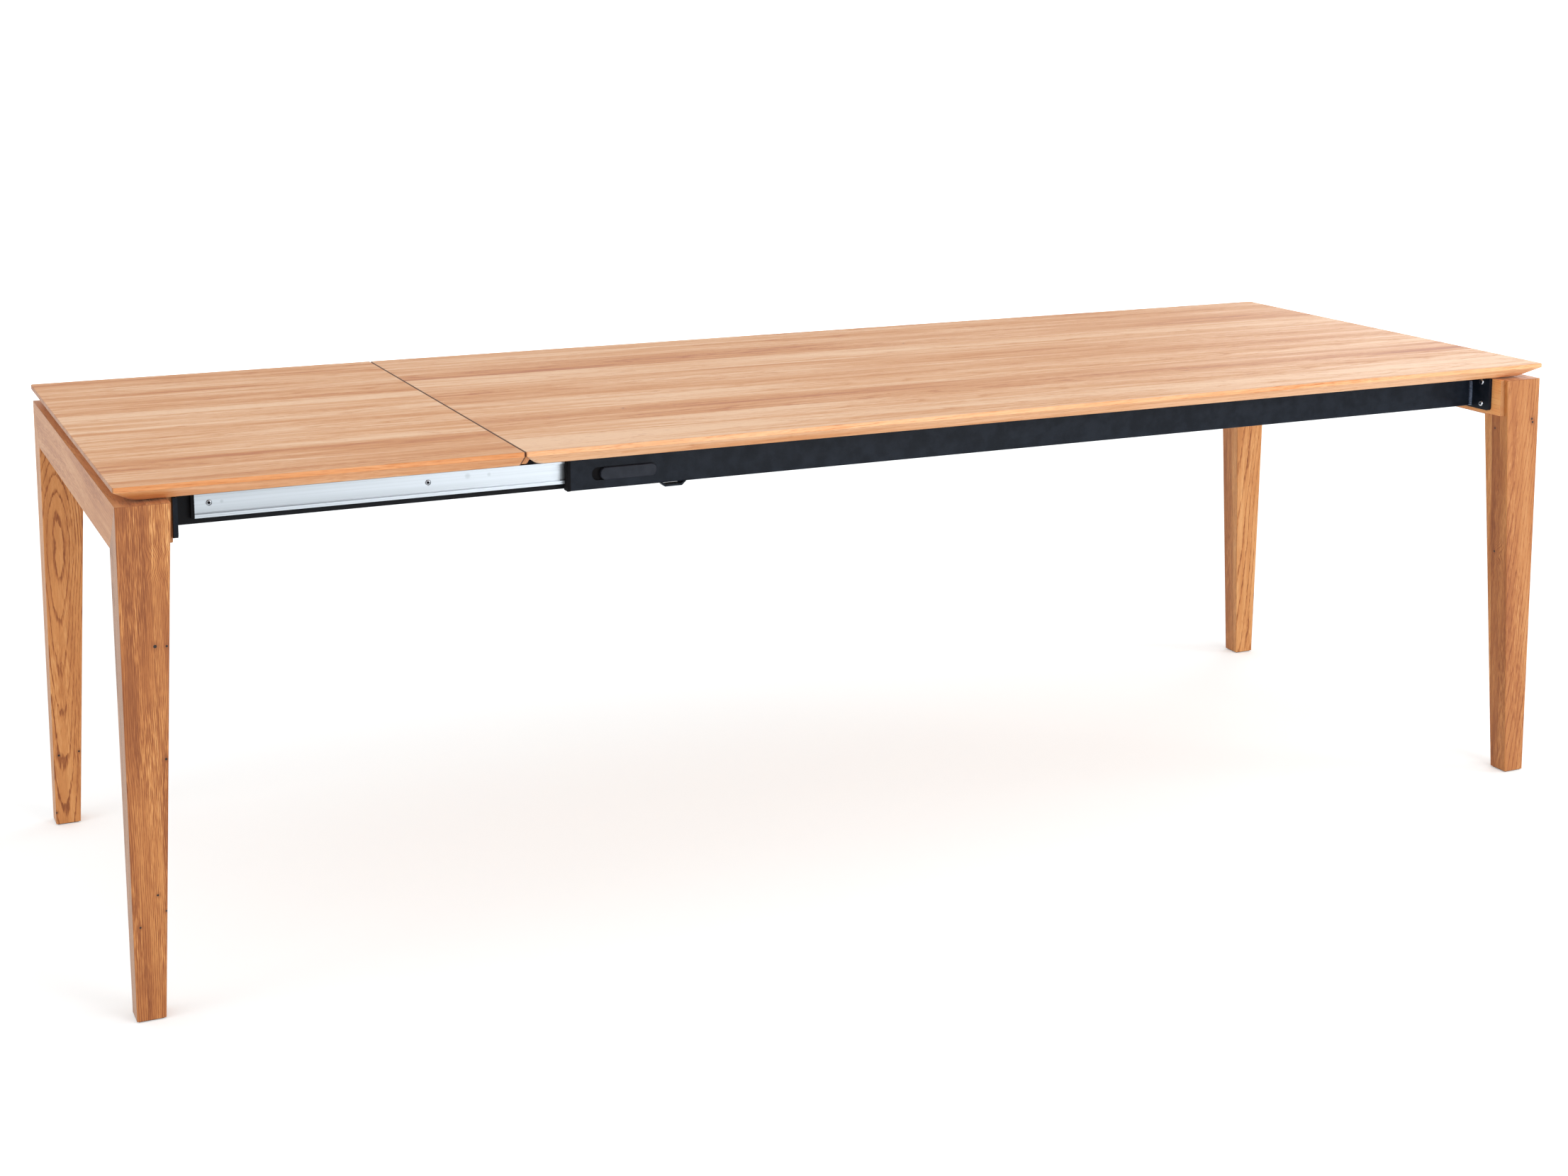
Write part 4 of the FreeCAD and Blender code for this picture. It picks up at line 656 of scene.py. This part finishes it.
# %% Three turned screws
SPIN_STEPS = 24
SAME_POINT = 1e-7
SHARP = math.radians(32)
TIP = 1.5                         # length of the pointed end, in radii of the shank
DOME = ((1.00, 1.00), (1.00, 0.60), (0.92, 0.25), (0.76, 0.06))   # out and down, in radii and heights
FLAT, RIM_DOWN, NARROWED = 1.2, 0.05, 0.94    # round the recess, and the recess at its bottom
IN_RECESS = 1.1
NARROWEST_CROSS, CROSS_SHARPNESS = 0.36, 6


def hexagon(angle):
    """How far the wall of a hexagon socket stands from its middle, as a part of the corner's."""
    return math.cos(math.radians(30)) / math.cos(angle % math.radians(60) - math.radians(30))


def cross(angle):
    """The same for a cross recess."""
    return max(NARROWEST_CROSS, abs(math.cos(2 * angle)) ** CROSS_SHARPNESS)


def turned_screw(head, high, shank, length, recess, deep, wall):
    """A screw with the top of its head at the origin and its tip below.  Widths are radii."""
    shape = bmesh.new()
    outline = ([(0, -length), (shank, TIP * shank - length), (shank, -high)]
               + [(out * head, -down * high) for out, down in DOME]
               + [(FLAT * recess, 0), (recess, -RIM_DOWN * high), (NARROWED * recess, -deep), (0, -deep)])
    points = [shape.verts.new((out, 0, up)) for out, up in outline]
    lines = [shape.edges.new(ends) for ends in zip(points, points[1:])]
    bmesh.ops.spin(shape, geom=points + lines, cent=(0, 0, 0), axis=(0, 0, 1), angle=math.tau,
                   steps=SPIN_STEPS, use_merge=True)
    bmesh.ops.remove_doubles(shape, verts=shape.verts, dist=SAME_POINT)
    low = -IN_RECESS * deep
    for point in shape.verts:
        if point.co.xy.length < IN_RECESS * recess and point.co.z > low:
            point.co.xy *= wall(math.atan2(point.co.y, point.co.x))
    bmesh.ops.recalc_face_normals(shape, faces=shape.faces)
    for face in shape.faces:
        middle = face.calc_center_median()
        # the faces in the recess take the second material, black as painted shade
        face.material_index = int(middle.xy.length < recess and middle.z > low)
        face.smooth = True
    for edge in shape.edges:
        edge.smooth = edge.calc_face_angle(0) < SHARP
    made = bpy.data.meshes.new("screw")
    shape.to_mesh(made)
    shape.free()
    return made


FLANGE_SCREW = turned_screw(head=5.1 * MM, high=2.6 * MM, shank=3 * MM, length=42.4 * MM,
                            recess=2.6 * MM, deep=1.7 * MM, wall=hexagon)
RAIL_SCREW = turned_screw(head=3.9 * MM, high=1.6 * MM, shank=2 * MM, length=7.8 * MM,
                          recess=1.7 * MM, deep=1.0 * MM, wall=cross)
WOOD_SCREW = turned_screw(head=3.9 * MM, high=2.4 * MM, shank=2.25 * MM, length=22.2 * MM,
                          recess=1.9 * MM, deep=1.4 * MM, wall=cross)
print("three screws of %d faces" % len(FLANGE_SCREW.polygons))

# %% [markdown]
# The frame says where each screw goes.  A node of screws falls apart into loose solids, each one
# screw, and its widest end is the head.  A finished piece rides on its node's body and takes the
# node's place in the picture.

# %% Places and pieces
NEAR_POINT = 1e-6


def loose_pieces(name):
    """The corner points of each separate solid of a CAD node."""
    shape = bmesh.new()
    shape.from_mesh(NODES[name].data)
    bmesh.ops.remove_doubles(shape, verts=shape.verts, dist=NEAR_POINT)
    waiting, pieces = set(shape.verts), []
    while waiting:
        found, piece = [waiting.pop()], []
        while found:
            point = found.pop()
            piece.append(point.co.copy())
            near = {edge.other_vert(point) for edge in point.link_edges} & waiting
            waiting -= near
            found += near
        pieces.append(piece)
    shape.free()
    return sorted(pieces, key=lambda piece: tuple(min(piece)))


def box_of(points):
    return (Vector(min(p[i] for p in points) for i in range(3)),
            Vector(max(p[i] for p in points) for i in range(3)))


def add_copy(whole, mesh, matrix):
    """Adds a shape to a bmesh, moved and turned into its place."""
    before = len(whole.verts)
    whole.from_mesh(mesh)
    whole.verts.ensure_lookup_table()
    bmesh.ops.transform(whole, verts=whole.verts[before:], matrix=matrix)


def finished(name, shape, body, materials, stands_for):
    """Makes an object of a bmesh, on its body and in place of its CAD node."""
    mesh = bpy.data.meshes.new(name)
    shape.to_mesh(mesh)
    shape.free()
    for material in materials:
        mesh.materials.append(material)
    piece = bpy.data.objects.new(name, mesh)
    bpy.context.scene.collection.objects.link(piece)
    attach(piece, body)
    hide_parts(stands_for)
    dress(materials[0], stands_for)
    return piece


def head_of(points, axis):
    """The middle of a screw's head, and the way it faces along the axis."""
    low, high = box_of(points)
    middle = (low + high) / 2
    side = Vector(float(i != axis) for i in range(3))
    widest = max(points, key=lambda point: ((point - middle) * side).length)
    way = 1 if widest[axis] > middle[axis] else -1
    middle[axis] = high[axis] if way > 0 else low[axis]
    return middle, Vector(way if i == axis else 0 for i in range(3))


print("places: from the loose solids of a node")

# %% [markdown]
# The frame screws go in along the table, those of the slide rails across it, and all the others
# upwards into the fixed top.

# %% Screws in their places
X, Y, Z = range(3)


def fit_screws(name, body, axis, screw, *materials):
    whole = bmesh.new()
    places = loose_pieces(name)
    for points in places:
        head, outwards = head_of(points, axis)
        turned = outwards.to_track_quat("Z", "Y").to_matrix().to_4x4()
        add_copy(whole, screw, Matrix.Translation(head) @ turned)
    finished("turned_" + name, whole, body, materials, name)
    print(name, "-", len(places), "screws")


fit_screws("left_flange_screws", "drawn_end", X, FLANGE_SCREW, ZINC, BLACK_AND_SHADE)
fit_screws("right_flange_screws", "fixed_end", X, FLANGE_SCREW, ZINC, BLACK_AND_SHADE)
fit_screws("slide_rail_screws", "drawn_end", Y, RAIL_SCREW, STEEL, BLACK_AND_SHADE)
fit_screws("top_screws", "fixed_end", Z, WOOD_SCREW, ZINC, BLACK_AND_SHADE)
fit_screws("spacer_screws", "fixed_end", Z, WOOD_SCREW, ZINC, BLACK_AND_SHADE)
fit_screws("locating_screws", "fixed_end", Z, WOOD_SCREW, ZINC, BLACK_AND_SHADE)

# %% [markdown]
# ## Weld beads
# A fillet weld lies in the corner of two plates.  The welder's hand stops and goes, and each stop
# leaves a crescent ripple.  A quarter of a circle is the start; the face is extruded along the corner
# again and again, wider on the crest of a ripple and narrower between two.

# %% Rippled welds under the paint
RIPPLE = 2.1 * MM
RIPPLE_STEPS = ((0.30, 1.00), (0.45, 0.96), (0.25, 0.84))   # share of a ripple's length, width
CRESCENT = 1.0 * MM                                         # how far a ripple's middle runs ahead
WOBBLE, WOBBLE_TURN = 0.04, 1.7
ARC_SEGMENTS = 24


def weld_bead(width, length):
    """A bead in the corner at the origin, lying to +X and +Y, and running up Z."""
    shape = bmesh.new()
    ring = bmesh.ops.create_circle(shape, segments=ARC_SEGMENTS, radius=width)["verts"]
    outside = [v for v in ring if min(v.co.x, v.co.y) < -SAME_POINT]
    bmesh.ops.delete(shape, geom=outside, context="VERTS")
    arc = sorted(shape.verts, key=lambda v: v.co.x)
    corner = shape.verts.new((0, 0, 0))
    for point in arc:
        point.co.z = CRESCENT * math.sin(2 * math.atan2(point.co.y, point.co.x))
    front = shape.faces.new([corner] + arc)
    done, turn = 0.0, 0
    while done + RIPPLE < length - CRESCENT:
        for share, size in RIPPLE_STEPS:
            done += share * RIPPLE
            made = bmesh.ops.extrude_face_region(shape, geom=[front])["geom"]
            front = next(g for g in made if isinstance(g, bmesh.types.BMFace))
            loop = [v for v in front.verts if v.co.xy.length > SAME_POINT]
            wobble = 1 - WOBBLE * abs(math.sin(WOBBLE_TURN * turn))
            scale = size * wobble * width / max(v.co.xy.length for v in loop)
            bmesh.ops.translate(shape, verts=front.verts, vec=(0, 0, share * RIPPLE))
            bmesh.ops.scale(shape, verts=loop, vec=(scale, scale, 1))
        turn += 1
    bmesh.ops.recalc_face_normals(shape, faces=shape.faces)
    for face in shape.faces:
        face.smooth = len(face.verts) == 4
    made = bpy.data.meshes.new("bead")
    shape.to_mesh(made)
    shape.free()
    return made


def lay_welds(name, body, in_corner_nearer):
    """Beads run up the corner between a beam and its flange plate.  The corner is at the plate, on
    the beam's side that is nearer to the middle of the table, or on the other one."""
    whole = bmesh.new()
    for points in loose_pieces(name):
        low, high = box_of(points)
        plate = high.x if high.x > 0 else low.x
        beam, other = sorted((low.y, high.y), key=abs, reverse=not in_corner_nearer)
        mirror = Matrix.Diagonal((-1 if plate > 0 else 1, 1 if other > beam else -1, 1, 1))
        add_copy(whole, weld_bead(high.x - low.x, high.z - low.z),
                 Matrix.Translation((plate, beam, low.z)) @ mirror)
    bmesh.ops.recalc_face_normals(whole, faces=whole.faces)
    piece = finished("rippled_" + name, whole, body, [WELD], name)
    print(name, "-", len(piece.data.polygons), "faces")


lay_welds("right_weld_beads", "fixed_end", True)
lay_welds("left_weld_beads", "drawn_end", False)

# %% [markdown]
# ## Studio
# A pale floor that curves up into a wall far behind the table gives a seamless ground.  The floor is
# a little brighter to the camera than to the table, so it reads as white and still holds shadows.

# %% Floor and backdrop
FLOOR_LOW, FLOOR_HIGH = Vector((-9, -7, 0)), Vector((12, 8, 0))
WALL_CURVE, CURVE_STEPS = 2, 12
PALE_FLOOR = (0.86, 0.895, 0.91, 1)
GLOW = {"start": 1.5, "end": 6.0, "at_start": 0.27, "at_end": 1.0}   # from the table to the wall


def make_floor():
    shape = bmesh.new()
    near = shape.verts.new((FLOOR_LOW.x, FLOOR_LOW.y, 0))
    far = shape.verts.new((FLOOR_HIGH.x, FLOOR_LOW.y, 0))
    edge = [shape.edges.new((near, far))]
    back = bmesh.ops.extrude_edge_only(shape, edges=edge)["geom"]
    bmesh.ops.translate(shape, verts=[v for v in back if isinstance(v, bmesh.types.BMVert)],
                        vec=(0, FLOOR_HIGH.y - FLOOR_LOW.y, 0))
    wall = [e for e in back if isinstance(e, bmesh.types.BMEdge)
            and all(v.co.y > FLOOR_HIGH.y - MM for v in e.verts)]
    bmesh.ops.spin(shape, geom=wall + list(wall[0].verts), cent=(0, FLOOR_HIGH.y, WALL_CURVE),
                   axis=(1, 0, 0), angle=math.radians(90), steps=CURVE_STEPS, use_merge=False)
    mesh = bpy.data.meshes.new("floor")
    shape.to_mesh(mesh)
    shape.free()
    made = bpy.data.objects.new("floor", mesh)
    bpy.context.scene.collection.objects.link(made)
    return made


def seen_directly(tree):
    """1 where the camera looks, also in a mirror, and 0 for the light that falls on things."""
    rays = node(tree, "LightPath").outputs
    return calc(tree, "MAXIMUM", rays["Is Camera Ray"], rays["Is Glossy Ray"])


def floor_finish():
    material, tree, shader, place = new_material("pale_floor")
    shader.inputs["Base Color"].default_value = PALE_FLOOR
    shader.inputs["Roughness"].default_value = 0.9
    shader.inputs["Specular IOR Level"].default_value = 0.2
    shader.inputs["Emission Color"].default_value = (1, 1, 1, 1)
    glow = fade(tree, node(tree, "SeparateXYZ", {"Vector": place}).outputs["Y"], **GLOW)
    feed(tree, calc(tree, "MULTIPLY", seen_directly(tree), glow), shader.inputs["Emission Strength"])
    return material


floor = make_floor()
floor.data.materials.append(floor_finish())
print("floor: %.0f by %.0f m" % tuple((FLOOR_HIGH - FLOOR_LOW).xy))

# %% [markdown]
# The light is soft: a pale sky all round and four broad round lamps.  The one in front is the
# strongest.  Two stand on the right and make the right half of the top the brightest part, and a weak
# one on the left lifts the outer faces of the left legs.

# %% Sky and lamps
SKY_LIGHT, SKY_SEEN_MORE = 0.85, 0.15
LAMPS = (
    # name, place, target, size, power in watts
    ("front", (1.6, -4.4, 1.5), (0.5, 0, 0.5), 2.6, 90),
    ("right", (4.4, -2.2, 2.4), (1.1, 0, 0.5), 1.6, 30),
    ("left", (-4.2, -0.8, 1.3), (-1.2, 0, 0.5), 2.0, 18),
    ("window", (4.6, 3.4, 2.2), (0.8, 0, 0.76), 2.4, 30),
)


def hang_sky():
    world = bpy.data.worlds.new("studio")
    bpy.context.scene.world = world
    world.use_nodes = True
    tree = world.node_tree
    sky = tree.nodes["Background"]
    sky.inputs["Color"].default_value = (1, 1, 1, 1)
    feed(tree, calc(tree, "MULTIPLY_ADD", seen_directly(tree), SKY_SEEN_MORE, SKY_LIGHT),
         sky.inputs["Strength"])


def softbox(name, place, target, size, power):
    lamp = bpy.data.lights.new(name, "AREA")
    lamp.shape, lamp.size, lamp.energy = "DISK", size, power
    holder = bpy.data.objects.new(name, lamp)
    direction = Vector(target) - Vector(place)
    aimed = direction.to_track_quat("-Z", "Y").to_matrix().to_4x4()
    holder.matrix_world = Matrix.Translation(place) @ aimed
    bpy.context.scene.collection.objects.link(holder)


hang_sky()
for lamp in LAMPS:
    softbox(*lamp)
bpy.context.scene.view_settings.view_transform = "Standard"
print("studio: sky and", len(LAMPS), "lamps")
